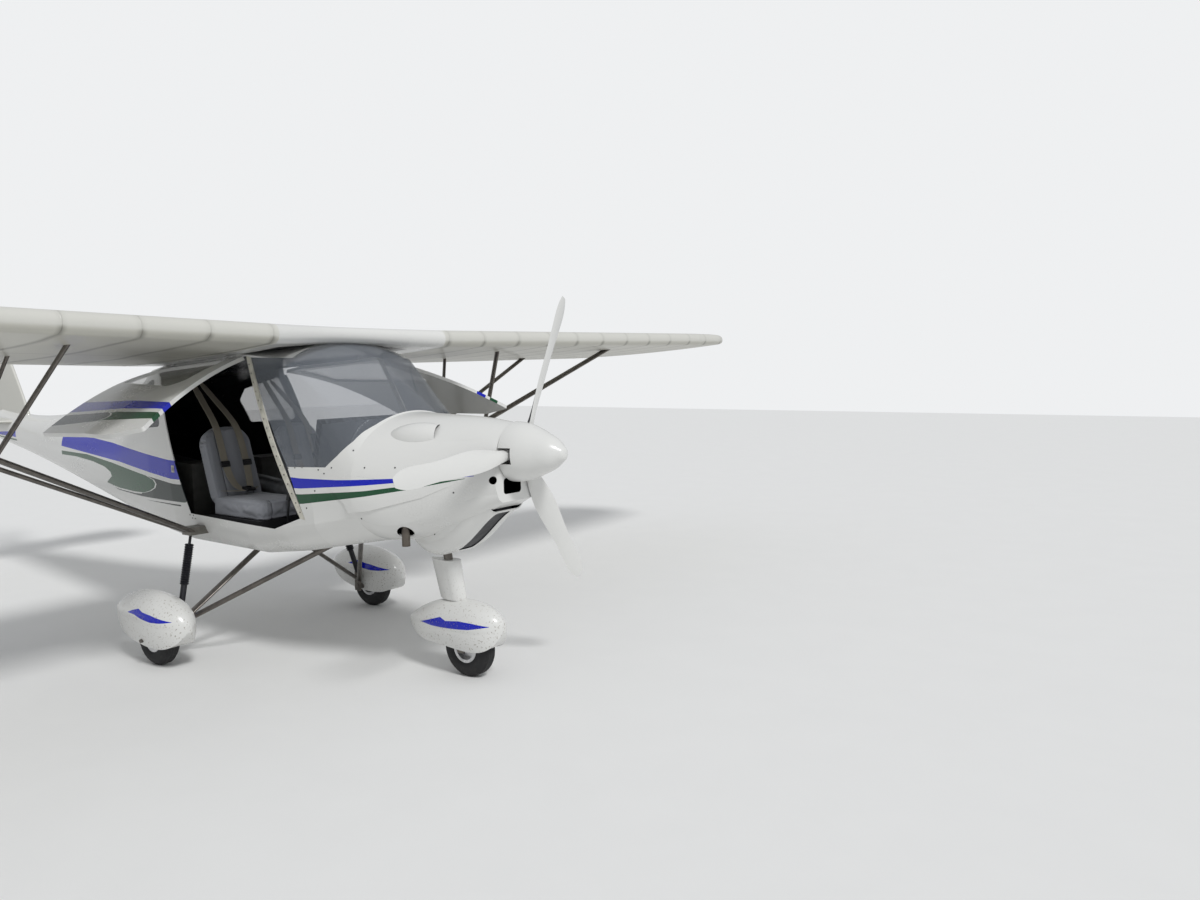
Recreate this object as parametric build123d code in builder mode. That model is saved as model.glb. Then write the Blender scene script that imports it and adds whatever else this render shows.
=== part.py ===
from build123d import *
import math
import os

# A two-seat high-wing microlight aircraft, braced by V struts, on a tricycle undercarriage.
# Millimetres. +X is the nose, +Y the port side, +Z up, and Z = 0 is the ground under the wheels.
os.makedirs("parts", exist_ok=True)

# Body
skin = 6  # moulded shell
door_depth = 20  # door frame, outside to inside
door_gap = 6  # round each closed door
nose_x = 2790  # front of the cowl
seam_x = 2100  # where the cabin ends and the lower cowl begins
bay_x = 300  # where the cabin ends and the tapering rear begins
tail_x = -2590  # rear end of the fuselage
firewall_x = 2040
firewall_thick = 6
far = 900  # beyond the widest part of the body

# Wing
root_y = 605  # wing root, at the edge of the cabin roof
straight_y = 3900  # where the round tip begins
wing_le = 1755
wing_te = 345
wing_rise = 0.0192  # dihedral, as a slope
flap_chord = 240
flap_in, flap_out = 622, 2290
aileron_in, aileron_out = 2310, 3880
moving_gap = 8  # between a wing or fin and what is hinged to it

# Propeller
prop_x = 2825
prop_z = 1212
blade_radius = 871
first_blade_angle = 25.42  # from straight up, towards port
spinner_radius = 152
spinner_tip_x = 3100
spinner_wall = 3

# Undercarriage
main_x = 841
main_y = 788
nose_wheel_x = 2450
tyre_radius = 155
tyre_width = 96
rim_radius = 78
rim_width = 84
axle_radius = 10
running_fit = 0.05
seat_gap = 0.3  # between soft and hard pieces, and where curved faces meet
steer_rake = math.radians(13.3)  # the nose leg leans back at its top
leg_top_x, leg_top_z = 2303, 640

# Doors
door_open_angle = 65  # as the doors stand, from closed
hinge_rear = Vector(405, -462, 1658)
hinge_front = Vector(1290, -479, 1719)
hinge_pin_radius = 4
hinge_barrel_radius = 8

# Tail
rudder_foot_x, rudder_foot_z = -2672, 1125
rudder_head_x, rudder_head_z = -2868, 2290
elevator_x = -2620
elevator_z = 1255
elevator_tip_y = 1180

# Sections of the body, nose to tail, in the YZ plane.
# x, keel z, keel half width, chine z, chine half width, side z, side half width,
# edge z, edge half width, top z
cowl_sections = [
    (nose_x, 965, 90, 1010, 150, 1120, 176, 1290, 125, 1355),
    (2600, 865, 75, 960, 235, 1090, 272, 1270, 205, 1380),
    (2340, 770, 90, 855, 345, 1100, 388, 1270, 290, 1392),
    (seam_x, 736, 70, 880, 440, 1130, 462, 1290, 350, 1402),
]
duct_sections = [  # the radiator's duct, under the cowl
    (2110, 745, 40, 790, 100, 850, 110, 950, 90, 1000),
    (2230, 664, 62, 740, 140, 850, 155, 960, 120, 1010),
    (2340, 652, 70, 735, 165, 860, 185, 980, 140, 1030),
    (2600, 815, 75, 890, 165, 980, 180, 1040, 120, 1070),
    (2720, 905, 80, 960, 140, 1020, 150, 1060, 100, 1090),
]
cabin_sections = [
    (seam_x, 736, 70, 880, 440, 1130, 462, 1290, 350, 1402),
    (1830, 690, 250, 830, 490, 1150, 495, 1497, 412, 1603),
    (1580, 640, 270, 790, 492, 1180, 518, 1690, 470, 1788),
    (1250, 595, 280, 760, 490, 1200, 524, 1722, 473, 1800),
    (540, 600, 250, 770, 470, 1210, 505, 1678, 457, 1698),
    (bay_x, 625, 230, 790, 450, 1205, 485, 1640, 432, 1656),
]
rear_sections = [
    (bay_x, 625, 230, 790, 450, 1205, 485, 1640, 432, 1656),
    (-300, 730, 170, 860, 370, 1170, 395, 1440, 290, 1530),
    (-1200, 890, 110, 990, 250, 1140, 265, 1290, 180, 1365),
    (tail_x, 1110, 50, 1150, 95, 1230, 100, 1300, 75, 1345),
]


def save(part, name):
    part.label = name
    export_step(part, f"parts/{name}.step")


def mirrored(part):
    return mirror(part, about=Plane.XZ)


def across(x):
    """A drawing plane across the aircraft: its x is port, its y is up."""
    return Plane(origin=(x, 0, 0), x_dir=(0, 1, 0), z_dir=(1, 0, 0))


def along(y):
    """A drawing plane along the aircraft: its x is forward, its y is up."""
    return Plane(origin=(0, y, 0), x_dir=(1, 0, 0), z_dir=(0, -1, 0))


def body_section(row, inset):
    """One closed section of the body, drawn inside the outer form by inset."""
    x, keel_z, keel_w, chine_z, chine_w, side_z, side_w, edge_z, edge_w, top_z = row
    slope = 0.4 * inset
    keel = (keel_w - slope, keel_z + inset)
    chine = (chine_w - inset, chine_z + slope)
    bilge = (0.293 * keel[0] + 0.707 * chine[0], 0.707 * keel[1] + 0.293 * chine[1])
    edge = (edge_w - inset, edge_z - slope)
    starboard = [(-px, pz) for px, pz in (keel, bilge, chine, (side_w - inset, side_z), edge)]
    with BuildSketch(across(x)) as sketch:
        with BuildLine():
            Line(starboard[0], keel)
            ThreePointArc(keel, bilge, chine)
            ThreePointArc(chine, (side_w - inset, side_z), edge)
            ThreePointArc(edge, (0, top_z - inset), starboard[4])
            ThreePointArc(starboard[4], starboard[3], starboard[2])
            ThreePointArc(starboard[2], starboard[1], starboard[0])
        make_face()
    return sketch.sketch


def body_form(rows, inset, ruled=False):
    sketches = [body_section(row, inset) for row in rows]
    with BuildPart() as form:
        loft(sketches, ruled=ruled)
    return form.part


def side_prism(points, y_low=-far, y_high=far, radii=None, gap=0):
    """A prism along Y over an outline in X and Z, with some corners rounded, shrunk by gap."""
    with BuildPart() as prism:
        with BuildSketch(along(y_low)) as sketch:
            with BuildLine():
                Polyline(*points, close=True)
            make_face()
            for index, radius in (radii or {}).items():
                px, pz = points[index]
                corner = sketch.vertices().sort_by(lambda v: math.dist((v.X, v.Y), (px, pz)))[0]
                fillet(corner, radius)
            if gap:
                offset(amount=-gap, kind=Kind.INTERSECTION)
        extrude(amount=y_low - y_high)
    return prism.part


def common(*parts):
    """What all the given parts share."""
    with BuildPart() as shared:
        add(parts[0])
        for other in parts[1:]:
            add(other, mode=Mode.INTERSECT)
    return shared.part


def without(part, *cutters):
    """The given part, less the cutters."""
    with BuildPart() as rest:
        add(part)
        for cutter in cutters:
            add(cutter, mode=Mode.SUBTRACT)
    return rest.part


def joined(*parts):
    with BuildPart() as whole:
        for piece in parts:
            add(piece)
    return whole.part


def rod(start, end, radius, bore=0):
    """A round bar or tube from start to end."""
    run = Vector(end) - Vector(start)
    with BuildPart() as bar:
        with BuildSketch(Plane(origin=start, z_dir=run)):
            Circle(radius)
            if bore:
                Circle(bore, mode=Mode.SUBTRACT)
        extrude(amount=run.length)
    return bar.part


def streamlined(start, end, chord, thickness):
    """A streamlined bar whose chord lies fore and aft."""
    run = Vector(end) - Vector(start)
    with BuildPart() as bar:
        with BuildSketch(Plane(origin=start, x_dir=(1, 0, 0), z_dir=run)):
            Ellipse(chord / 2, thickness / 2)
        extrude(amount=run.length)
    return bar.part


def block(low, high):
    """A box between two corners."""
    with BuildPart() as body:
        with BuildSketch(Plane.XY.offset(low[2])):
            with Locations(((low[0] + high[0]) / 2, (low[1] + high[1]) / 2)):
                Rectangle(high[0] - low[0], high[1] - low[1])
        extrude(amount=high[2] - low[2])
    return body.part


cheek_swell = {nose_x: 0, 2600: 8, 2340: 14, seam_x: 12, 1830: 4}


def swollen(rows):
    """The same sections, further out at the chine, for the cheeks of the lower cowl."""
    return [(*row[:4], row[4] + cheek_swell[row[0]], *row[5:]) for row in rows]


cowl_outer = joined(body_form(cowl_sections, 0), body_form(duct_sections, 0))
cowl_inner = joined(body_form(cowl_sections, skin), body_form(duct_sections, skin))
cheek_outer = body_form(swollen(cowl_sections), 0)
cabin_outer = body_form(cabin_sections, 0, ruled=True)
cabin_inner = body_form(cabin_sections, skin, ruled=True)
cheek_tail = body_form(swollen(cabin_sections[:2]), 0, ruled=True)
rear_outer = body_form(rear_sections, 0)
rear_inner = body_form(rear_sections, skin)
cowl_shell = without(cowl_outer, cowl_inner)
cabin_shell = without(cabin_outer, cabin_inner)
rear_shell = without(rear_outer, rear_inner)

# Outlines of the panels in side view, X and Z
door_front_top = (1290, 1711)
door_front_foot = (1722, 852)
door_sill_front = (1500, 777)
door_sill_rear = (714, 800)
door_rear_mid = (550, 1270)
door_rear_top = (405, 1650)
door_outline = [
    door_front_top,
    door_front_foot,
    door_sill_front,
    door_sill_rear,
    door_rear_mid,
    door_rear_top,
]
door_radii = {1: 18, 2: 150, 3: 14}
post_width = 42
post_top = (door_front_top[0] + post_width, 1703)
post_foot = (door_front_foot[0] + post_width, 845)
glass_foot = (1655, 1124)  # rear lower corner of the side glass
glass_front = (1925, 1132)
cowl_edge = [(1990, 1190), (2055, 1265), (2085, 1345), (2094, 1430)]
screen_top = (1600, 1697)
screen_crown = (1556, 1830)
cheek_seam = (2050, 950)
cheek_corner = (2064, 900)
top_z = 1830  # above the cabin and below the wing's upper surface
low_z = 500

screen_outline = [post_top, glass_foot, glass_front, *cowl_edge, (2094, top_z), screen_crown, screen_top]
cheek_foot = (seam_x, 908)
seam_start = (1848.5, 1118.05)  # the seam between the cowls
seam_mid = (seam_x, 1122)
seam_front = (nose_x + 50, 1142)
upper_outline = [
    (1835, 1129.3),
    seam_start,
    seam_mid,
    (seam_x, top_z),
    (2094, top_z),
    *reversed(cowl_edge),
    glass_front,
]
post_outline = [door_front_top, post_top, post_foot, door_front_foot]
roof_outline = [
    door_rear_top,
    door_front_top,
    post_top,
    screen_top,
    screen_crown,
    (wing_te, top_z),
    (wing_te, door_rear_top[1]),
]
rear_outline = [
    (bay_x, low_z),
    (door_sill_rear[0], low_z),
    door_sill_rear,
    door_rear_mid,
    door_rear_top,
    (wing_te, door_rear_top[1]),
    (wing_te, top_z),
    (bay_x, top_z),
]
tub_outline = [
    (door_sill_rear[0], low_z),
    door_sill_rear,
    door_sill_front,
    door_front_foot,
    post_foot,
    glass_foot,
    (1835, 1129.3),
    cheek_seam,
    cheek_corner,
    cheek_foot,
    (seam_x, low_z),
]
cowl_split = [(seam_x, low_z), (nose_x + 50, low_z), seam_front, seam_mid]
cheek_outline = [cheek_foot, (2196, 922), (2453, 992), (2629, 1071), (2340, 1070), (seam_x, 1100)]
tail_outline = [seam_start, cheek_seam, cheek_corner, cheek_foot, seam_mid]
window_outline = [(345, 1590), (462, 1305), (40, 1275), (-10, 1430), (60, 1510)]
window_radii = {0: 25, 1: 25, 2: 30, 3: 30}

door_cut = side_prism(door_outline, radii=door_radii)
screen_zone = side_prism(screen_outline)
roof_zone = side_prism(roof_outline)

save(common(cabin_shell, screen_zone), "windscreen")
posts = without(common(cabin_shell, side_prism(post_outline)), door_cut)
save(posts, "door_posts")

# Cabin roof: the centre of the wing, faired down to the windscreen


def section_point(x, z, te, scale, thick, lift):
    """A point of the root aerofoil, carried to a shorter or thinner section."""
    return (te + (x - wing_te) * scale, 1805 + (z - 1805) * thick + lift)


def wing_section(y, le, te, thick=1.0, nose_z=1816, nose_r=52, lift=0.0):
    """An aerofoil section from a nose arc, two long arcs and a blunt tail."""
    scale = (le - te) / (wing_le - wing_te)
    nose = wing_le - nose_r
    shape = (te, scale, thick, lift)
    top = section_point(nose, nose_z + nose_r, *shape)
    low = section_point(nose, nose_z - nose_r, *shape)
    tail_top = section_point(wing_te, 1673, *shape)
    tail_low = section_point(wing_te, 1665, *shape)
    with BuildSketch(along(y)) as sketch:
        with BuildLine():
            ThreePointArc(low, section_point(wing_le, nose_z, *shape), top)
            ThreePointArc(top, section_point(1050, 1826, *shape), tail_top)
            Line(tail_top, tail_low)
            ThreePointArc(tail_low, section_point(1050, 1704, *shape), low)
        make_face()
    return sketch.sketch


# y, nose x, nose z, nose radius
roof_rows = [
    (-root_y, wing_le, 1816, 52),
    (-400, 1700, 1820, 49),
    (0, 1640, 1828, 42),
    (400, 1700, 1820, 49),
    (root_y, wing_le, 1816, 52),
]
roof_sketches = [wing_section(y, x, wing_te, 1.0, z, r) for y, x, z, r in roof_rows]
with BuildPart() as wing_centre:
    loft(roof_sketches)
roof_body = joined(wing_centre.part, common(cabin_outer, roof_zone))
screen_block = common(cabin_outer, screen_zone)
roof = without(roof_body, cabin_inner, screen_block)
roof = max(roof.solids(), key=lambda s: s.volume)

# Cowls, with their openings
intake_y, intake_z = -35, 1045
intake_width, intake_height = 135, 80
with BuildPart() as intake:
    with BuildSketch(across(nose_x - 120)):
        with Locations((intake_y, intake_z)):
            RectangleRounded(intake_width, intake_height, 18)
    extrude(amount=200)
side_hole = rod((nose_x - 150, -80, 1070), (nose_x + 20, -190, 1085), 20)
slot_low, slot_high = (2409, 704), (2703, 897)  # X and Z along the sloping chin
slot_width = 110
slot_run = math.dist(slot_low, slot_high)
slot_dir = Vector(slot_high[0] - slot_low[0], 0, slot_high[1] - slot_low[1]).normalized()
slot_out = Vector(slot_dir.Z, 0, -slot_dir.X)
slot_centre = Vector((slot_low[0] + slot_high[0]) / 2, 0, (slot_low[1] + slot_high[1]) / 2)
slot_plane = Plane(origin=slot_centre, x_dir=slot_dir, z_dir=slot_out)
with BuildPart() as radiator_slot:
    with BuildSketch(slot_plane.offset(-60)):
        RectangleRounded(slot_run, slot_width, 15)
    extrude(amount=140)
with BuildPart() as radiator_space:
    with BuildSketch(slot_plane.offset(-70)):
        Rectangle(slot_run + 16, slot_width + 16)
    extrude(amount=160)
exhaust_x, exhaust_y = 2302, -300
exhaust_foot = 730
exhaust_hole = rod((exhaust_x, exhaust_y, 600), (exhaust_x, exhaust_y, 870), 44)
leg_down = Vector(math.sin(steer_rake), 0, -math.cos(steer_rake))
leg_top = Vector(leg_top_x, 0, leg_top_z)
leg_hole = rod(leg_top - leg_down * 60, leg_top + leg_down * 60, 36)
spinner_hole = rod((nose_x - 60, 0, prop_z), (nose_x + 60, 0, prop_z), 60)
low_zone = side_prism(cowl_split)
tail_zone = side_prism(tail_outline)
front_wall = common(cowl_outer, block((nose_x - skin, -300, 900), (nose_x, 300, 1500)))
cheeks = common(without(cheek_outer, cowl_inner), side_prism(cheek_outline))
cheek_ends = common(without(cheek_tail, cabin_inner), tail_zone)
cowl_lower = joined(common(joined(cowl_shell, front_wall), low_zone), cheeks, cheek_ends)
cowl_lower = without(
    cowl_lower, spinner_hole, intake.part, side_hole, radiator_slot.part, exhaust_hole, leg_hole
)
cowl_upper = joined(
    without(joined(cowl_shell, front_wall), low_zone), common(cabin_shell, side_prism(upper_outline))
)
cowl_upper = without(cowl_upper, spinner_hole)

# Blister on the starboard side of the upper cowl, open to the front
blister_mid = Vector(2345, -239, 1312)
blister_out = Vector(0.17, -0.60, 0.78).normalized()
blister_dir = Vector(0.943, 0.332, 0.030).normalized()
blister_long, blister_round, blister_sunk = 190, 85, 50
blister_foot = 28  # how far under its middle the blister reaches into the cowl
blister_wall, blister_cut = 3, 105
blister_plane = Plane(origin=blister_mid - blister_out * blister_sunk, x_dir=blister_dir, z_dir=blister_out)


def egg(half_length, half_width):
    """A long round body on the blister's axis."""
    with BuildPart() as body:
        with BuildSketch(blister_plane):
            with BuildLine():
                EllipticalCenterArc((0, 0), half_length, half_width, start_angle=0, arc_size=180)
                Line((-half_length, 0), (half_length, 0))
            make_face()
        revolve(axis=Axis(blister_plane.origin, blister_plane.x_dir))
    return body.part


blister_hollow = egg(blister_long - blister_wall, blister_round - blister_wall)
hollow_egg = without(egg(blister_long, blister_round), blister_hollow)
with BuildPart() as blister_room:
    with BuildSketch(blister_plane.offset(blister_sunk - blister_foot)):
        with Locations(((blister_cut - blister_long) / 2, 0)):
            Rectangle(blister_cut + blister_long, 2 * blister_long)
    extrude(amount=blister_round)
cowl_upper = joined(cowl_upper, common(hollow_egg, blister_room.part))
save(cowl_lower, "cowl_lower")
save(cowl_upper, "cowl_upper")
cabin_tub = without(common(cabin_shell, side_prism(tub_outline)), door_cut)
save(cabin_tub, "cabin_tub")

# Rear fuselage and its side windows
window_cut = side_prism(window_outline, radii=window_radii)
rear_cabin = without(common(cabin_shell, side_prism(rear_outline)), door_cut)
tail_wall = common(rear_outer, block((tail_x, -200, 1000), (tail_x + skin, 200, 1500)))
rear_body = joined(rear_shell, tail_wall, rear_cabin)
save(common(rear_body, window_cut), "rear_windows")
door_relief = block((402, -464, 1604), (424, -432, 1650))  # clears the door's rear corner as it swings
rear_fuselage = without(rear_body, window_cut, door_relief, mirrored(door_relief))

# Structure inside the body
tube_radius, tube_bore = 65, 60
tube_front = Vector(2100, 0, 795)
tube_rear = Vector(-2640, 0, 1222)
main_tube = without(
    rod(tube_front, tube_rear, tube_radius, tube_bore),
    block((firewall_x, -100, 700), (2200, 100, 1000)),
    block((-2800, -100, 1100), (tail_x + skin, 100, 1400)),
)
save(main_tube, "main_tube")
dash_top, dash_low = 1374, 1090
firewall = common(cabin_inner, block((firewall_x, -far, low_z), (firewall_x + firewall_thick, far, 1370)))
save(firewall, "firewall")
dash_outline = [
    (1852, dash_low),
    (1874, dash_low),
    (1862, dash_top - 24),
    (firewall_x, dash_top - 2),
    (2088, dash_top + 4),
    (2088, dash_top + 18),
    (1826, dash_top),
]
save(common(cabin_inner, side_prism(dash_outline)), "instrument_panel")

seat_in, seat_out = 88, 428
seat_rear, seat_front = 790, 1290
seat_top = 790
pan_wall = 5
seat_boxes = []
for side in (-1, 1):
    y_low, y_high = sorted((side * seat_in, side * seat_out))
    box = block((seat_rear, y_low, low_z), (seat_front, y_high, seat_top))
    hollow = block(
        (seat_rear + pan_wall, y_low + pan_wall, low_z), (seat_front - pan_wall, y_high - pan_wall, seat_top - pan_wall)
    )
    seat_boxes.append(without(common(cabin_inner, box), hollow))
save(joined(*seat_boxes), "seat_pans")

cushion_depth = 105
back_lean = math.radians(17)
back_height = 470
back_thick = 80


def seat_cushion(side):
    """Seat base and backrest, one padded form."""
    middle = side * (seat_in + seat_out) / 2
    width = seat_out - seat_in - 12
    back_up = Vector(-math.sin(back_lean), 0, math.cos(back_lean))
    back_foot = Vector(seat_rear + 62, middle, seat_top + 60)
    back_plane = Plane(origin=back_foot, x_dir=(0, 1, 0), z_dir=Vector(0, 1, 0).cross(back_up))
    with BuildPart() as cushion:
        with BuildSketch(Plane.XY.offset(seat_top + seat_gap)):
            with Locations(((seat_rear + seat_front) / 2 + 10, middle)):
                RectangleRounded(seat_front - seat_rear, width, 60)
        extrude(amount=cushion_depth)
        with BuildSketch(back_plane):
            with Locations((0, (back_height - 45) / 2)):
                RectangleRounded(width, back_height + 45, 120)
        extrude(amount=back_thick / 2, both=True)
    return cushion.part


for side, name in ((-1, "right"), (1, "left")):
    save(seat_cushion(side), f"seat_cushion_{name}")

tank_x, tank_depth = 420, 200
tanks = []
for side in (-1, 1):
    y_low, y_high = sorted((side * 85, side * 400))
    tank = common(cabin_inner, block((tank_x, y_low, low_z), (tank_x + tank_depth, y_high, 1080)))
    space = block((tank_x + 6, y_low + 6, 800), (tank_x + tank_depth - 6, y_high - 6, 1074))
    tanks.append(without(tank, space))
save(joined(*tanks), "fuel_tanks")

stick_x = 1330
stick_foot_z = 868
stick_parts = [
    rod((stick_x, 0, 790), (stick_x, 0, 960), 16),
    rod((stick_x, 0, 955), (stick_x - 60, 0, 1160), 10),
    rod((stick_x - 56, 0, 1146), (stick_x - 88, 0, 1256), 19),
]
tube_cut = rod(tube_front, tube_rear, tube_radius)
stick = without(joined(*stick_parts), tube_cut)
save(max(stick.solids(), key=lambda s: s.center().Z), "control_stick")
levers = []
for side in (-1, 1):
    y = side * 255
    foot = block((seat_front, y - 9, 698), (seat_front + 13, y + 9, 738))
    lever = rod((seat_front + 7, y, 715), (seat_front + 34, y, 905), 6)
    knob = rod((seat_front + 31, y, 895), (seat_front + 38, y, 925), 15)
    levers.append(without(joined(foot, lever, knob), *seat_boxes))
save(Compound(levers), "throttle_levers")
pedal_x = 1900
pedals = []
for y in (-330, -190, 190, 330):
    plate = block((pedal_x, y - 45, 760), (pedal_x + 8, y + 45, 880))
    arm = rod((pedal_x + 8, y, 790), (pedal_x + 40, y, 740), 9)
    pedals.append(joined(plate, arm))
bar = common(cabin_inner, rod((pedal_x + 40, -far, 740), (pedal_x + 40, far, 740), 9))
pedal_set = without(common(joined(*pedals, bar), cabin_inner), tube_cut)
save(pedal_set, "rudder_pedals")

# Engine, radiator and exhaust
engine_low, engine_high = 960, 1290
engine_rear, engine_front = 2140, 2560
engine_half = 165
engine_parts = [
    block((engine_rear, -engine_half, engine_low), (engine_front, engine_half, engine_high)),
    rod((engine_front, 0, prop_z), (2700, 0, prop_z), 72),
    rod((2700, 0, prop_z), (nose_x - 4, 0, prop_z), 30),
]
for y in (-120, 120):
    for z in (1000, 1230):
        engine_parts.append(rod((firewall_x + firewall_thick, y, z), (engine_rear, y, z), 12))
save(joined(*engine_parts), "engine_block")
radiator = common(cowl_inner, radiator_space.part)
save(radiator, "radiator")
muffler_z = engine_low - 68
exhaust_parts = [
    rod((exhaust_x, exhaust_y - 30, muffler_z), (exhaust_x, 130, muffler_z), 50),
    rod((exhaust_x, -60, muffler_z), (exhaust_x, -60, engine_low), 18),
    rod((exhaust_x, exhaust_y, muffler_z), (exhaust_x, exhaust_y, exhaust_foot), 21, 18),
]
stub_room = rod((exhaust_x, exhaust_y, 650), (exhaust_x, exhaust_y, 850), 30)
exhaust = common(joined(*exhaust_parts), joined(cowl_inner, stub_room))
save(exhaust, "exhaust")

# Propeller and spinner, turning on the X axis at the hub
hub_axis = Axis((0, 0, prop_z), (1, 0, 0))
blade_angles = [first_blade_angle, first_blade_angle + 120, first_blade_angle + 240]
hub_rear = nose_x - 4 + seat_gap
hub_radius, socket_radius, socket_reach = 45, 26, 105
# radius from the hub, chord, thickness, pitch in degrees
blade_rows = [
    (socket_reach, 54, 46, 42),
    (190, 80, 28, 36),
    (400, 116, 17, 25),
    (700, 98, 10, 16),
    (840, 72, 6, 13),
    (blade_radius, 40, 3, 12),
]


def blade():
    """One blade, pointing straight up."""
    sketches = []
    for radius, chord, thick, pitch in blade_rows:
        angle = math.radians(pitch)
        chord_dir = (math.sin(angle), -math.cos(angle), 0)
        plane = Plane(origin=(prop_x, 0, prop_z + radius), x_dir=chord_dir, z_dir=(0, 0, 1))
        with BuildSketch(plane) as sketch:
            with BuildLine():
                ThreePointArc((-0.55 * chord, 0), (0, 0.65 * thick), (0.45 * chord, 0))
                ThreePointArc((0.45 * chord, 0), (0, -0.35 * thick), (-0.55 * chord, 0))
            make_face()
        sketches.append(sketch.sketch)
    with BuildPart() as shape:
        loft(sketches)
    return shape.part


upright_blade = blade()
upright_socket = rod((prop_x, 0, prop_z), (prop_x, 0, prop_z + socket_reach), socket_radius)
blades = [upright_blade.rotate(hub_axis, -angle) for angle in blade_angles]
sockets = [upright_socket.rotate(hub_axis, -angle) for angle in blade_angles]
save(Compound(blades), "propeller_blades")
hub = joined(rod((hub_rear, 0, prop_z), (2862, 0, prop_z), hub_radius), *sockets)
save(hub, "propeller_hub")

spinner_back = nose_x + 5


def spinner_outline(radius, back, tip):
    """Points on the spinner's profile, from its base to its tip."""
    shares = [(0, 1), (0.34, 0.89), (0.62, 0.66), (0.8, 0.48), (0.93, 0.27), (1, 0)]
    return [(back + (tip - back) * along_it, prop_z + radius * out) for along_it, out in shares]


outside = spinner_outline(spinner_radius, spinner_back, spinner_tip_x)
inside = spinner_outline(spinner_radius - spinner_wall, spinner_back + spinner_wall, spinner_tip_x - 8)
hub_top = prop_z + hub_radius
with BuildPart() as spinner_shell:
    with BuildSketch(along(0)):
        with BuildLine():
            Spline(*outside, tangents=[(1, 0), (0, -1)])
            Line(outside[-1], inside[-1])
            Spline(*inside, tangents=[(1, 0), (0, -1)])
            Polyline(inside[0], (inside[0][0], hub_top), (spinner_back, hub_top), outside[0])
        make_face()
    revolve(axis=hub_axis)
notch = block((spinner_back - 5, -40, prop_z + 60), (2866, 40, prop_z + 190))
notches = [notch.rotate(hub_axis, -angle) for angle in blade_angles]
spinner = without(spinner_shell.part, *notches)
save(spinner, "spinner")

# Wings. Each is made on the port side and mirrored.
hinge_x = wing_te + flap_chord


def arc_height(x, a, b, c):
    """Height at x on the circle through three points, for a shallow arc."""
    turn = 2 * (a[0] * (b[1] - c[1]) + b[0] * (c[1] - a[1]) + c[0] * (a[1] - b[1]))
    squares = [p[0] ** 2 + p[1] ** 2 for p in (a, b, c)]
    cx = (squares[0] * (b[1] - c[1]) + squares[1] * (c[1] - a[1]) + squares[2] * (a[1] - b[1])) / turn
    cz = (squares[0] * (c[0] - b[0]) + squares[1] * (a[0] - c[0]) + squares[2] * (b[0] - a[0])) / turn
    radius = math.dist((cx, cz), a)
    side = 1 if b[1] > cz else -1
    return cz + side * math.sqrt(radius**2 - (x - cx) ** 2)


hinge_top = arc_height(hinge_x, (1703, 1868), (1050, 1826), (wing_te, 1673))
hinge_low = arc_height(hinge_x, (1703, 1764), (1050, 1704), (wing_te, 1665))
hinge_z = (hinge_top + hinge_low) / 2
hinge_r = (hinge_top - hinge_low) / 2 - 0.5
span_dir = Vector(0, 1, wing_rise).normalized()


def on_hinge(y):
    return Vector(hinge_x, y, hinge_z + (y - root_y) * wing_rise)


with BuildPart() as wing_blank:
    add(wing_section(root_y, wing_le, wing_te))
    extrude(amount=(straight_y - root_y) / span_dir.Y, dir=span_dir)
# y, leading edge, trailing edge, thickness
tip_rows = [
    (straight_y, wing_le, wing_te, 1.0),
    (4300, 1725, 430, 0.92),
    (4560, 1640, 680, 0.68),
    (4690, 1500, 960, 0.36),
    (4725, 1400, 1150, 0.12),
]
tip_sketches = []
for y, le, te, thick in tip_rows:
    tip_sketches.append(wing_section(y, le, te, thick, lift=(y - root_y) * wing_rise))
with BuildPart() as wing_tip:
    loft(tip_sketches)


def hinge_bay(y_low, y_high, reach):
    """The space behind the wing's rear face where a surface moves."""
    start, end = on_hinge(y_low), on_hinge(y_high)
    space = block((0, y_low, hinge_z - 150), (hinge_x, y_high, hinge_z + 250))
    return joined(space, rod(start, end, reach))


lug_thick, lug_radius, lug_pin = 6, 13, 4
slot_half = 8


def hinge_lug(centre, forward, axis):
    """A hinge lug with its bore, standing out of the fixed part."""
    plane = Plane(origin=centre, x_dir=forward, z_dir=axis)
    with BuildPart() as lug:
        with BuildSketch(plane.offset(-lug_thick / 2)):
            Circle(lug_radius)
            with Locations((30, 0)):
                Rectangle(60, 2 * lug_radius)
            Circle(lug_pin + running_fit, mode=Mode.SUBTRACT)
        extrude(amount=lug_thick)
    return lug.part


def lug_slot(centre, forward, axis):
    plane = Plane(origin=centre, x_dir=forward, z_dir=axis)
    with BuildPart() as slot:
        with BuildSketch(plane.offset(-slot_half)):
            Circle(lug_radius + 8)
            with Locations((40, 0)):
                Rectangle(80, 2 * lug_radius + 60)
        extrude(amount=2 * slot_half)
    return slot.part


def lug_hinge_pin(centre, axis):
    half = Vector(axis).normalized() * (slot_half + 1)
    return rod(Vector(centre) - half, Vector(centre) + half, lug_pin)


def hung_surface(blank, centres, forward, axis):
    """A moving surface with its hinge slots and pins."""
    slots = [lug_slot(c, forward, axis) for c in centres]
    pins = [lug_hinge_pin(c, axis) for c in centres]
    return joined(without(blank, *slots), *pins)


def wing_surface(y_low, y_high, stations):
    space = block((0, y_low, hinge_z - 150), (hinge_x, y_high, hinge_z + 250))
    nose = rod(on_hinge(y_low), on_hinge(y_high), hinge_r)
    blank = joined(common(wing_blank.part, space), nose)
    return hung_surface(blank, [on_hinge(y) for y in stations], (1, 0, 0), span_dir)


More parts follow.
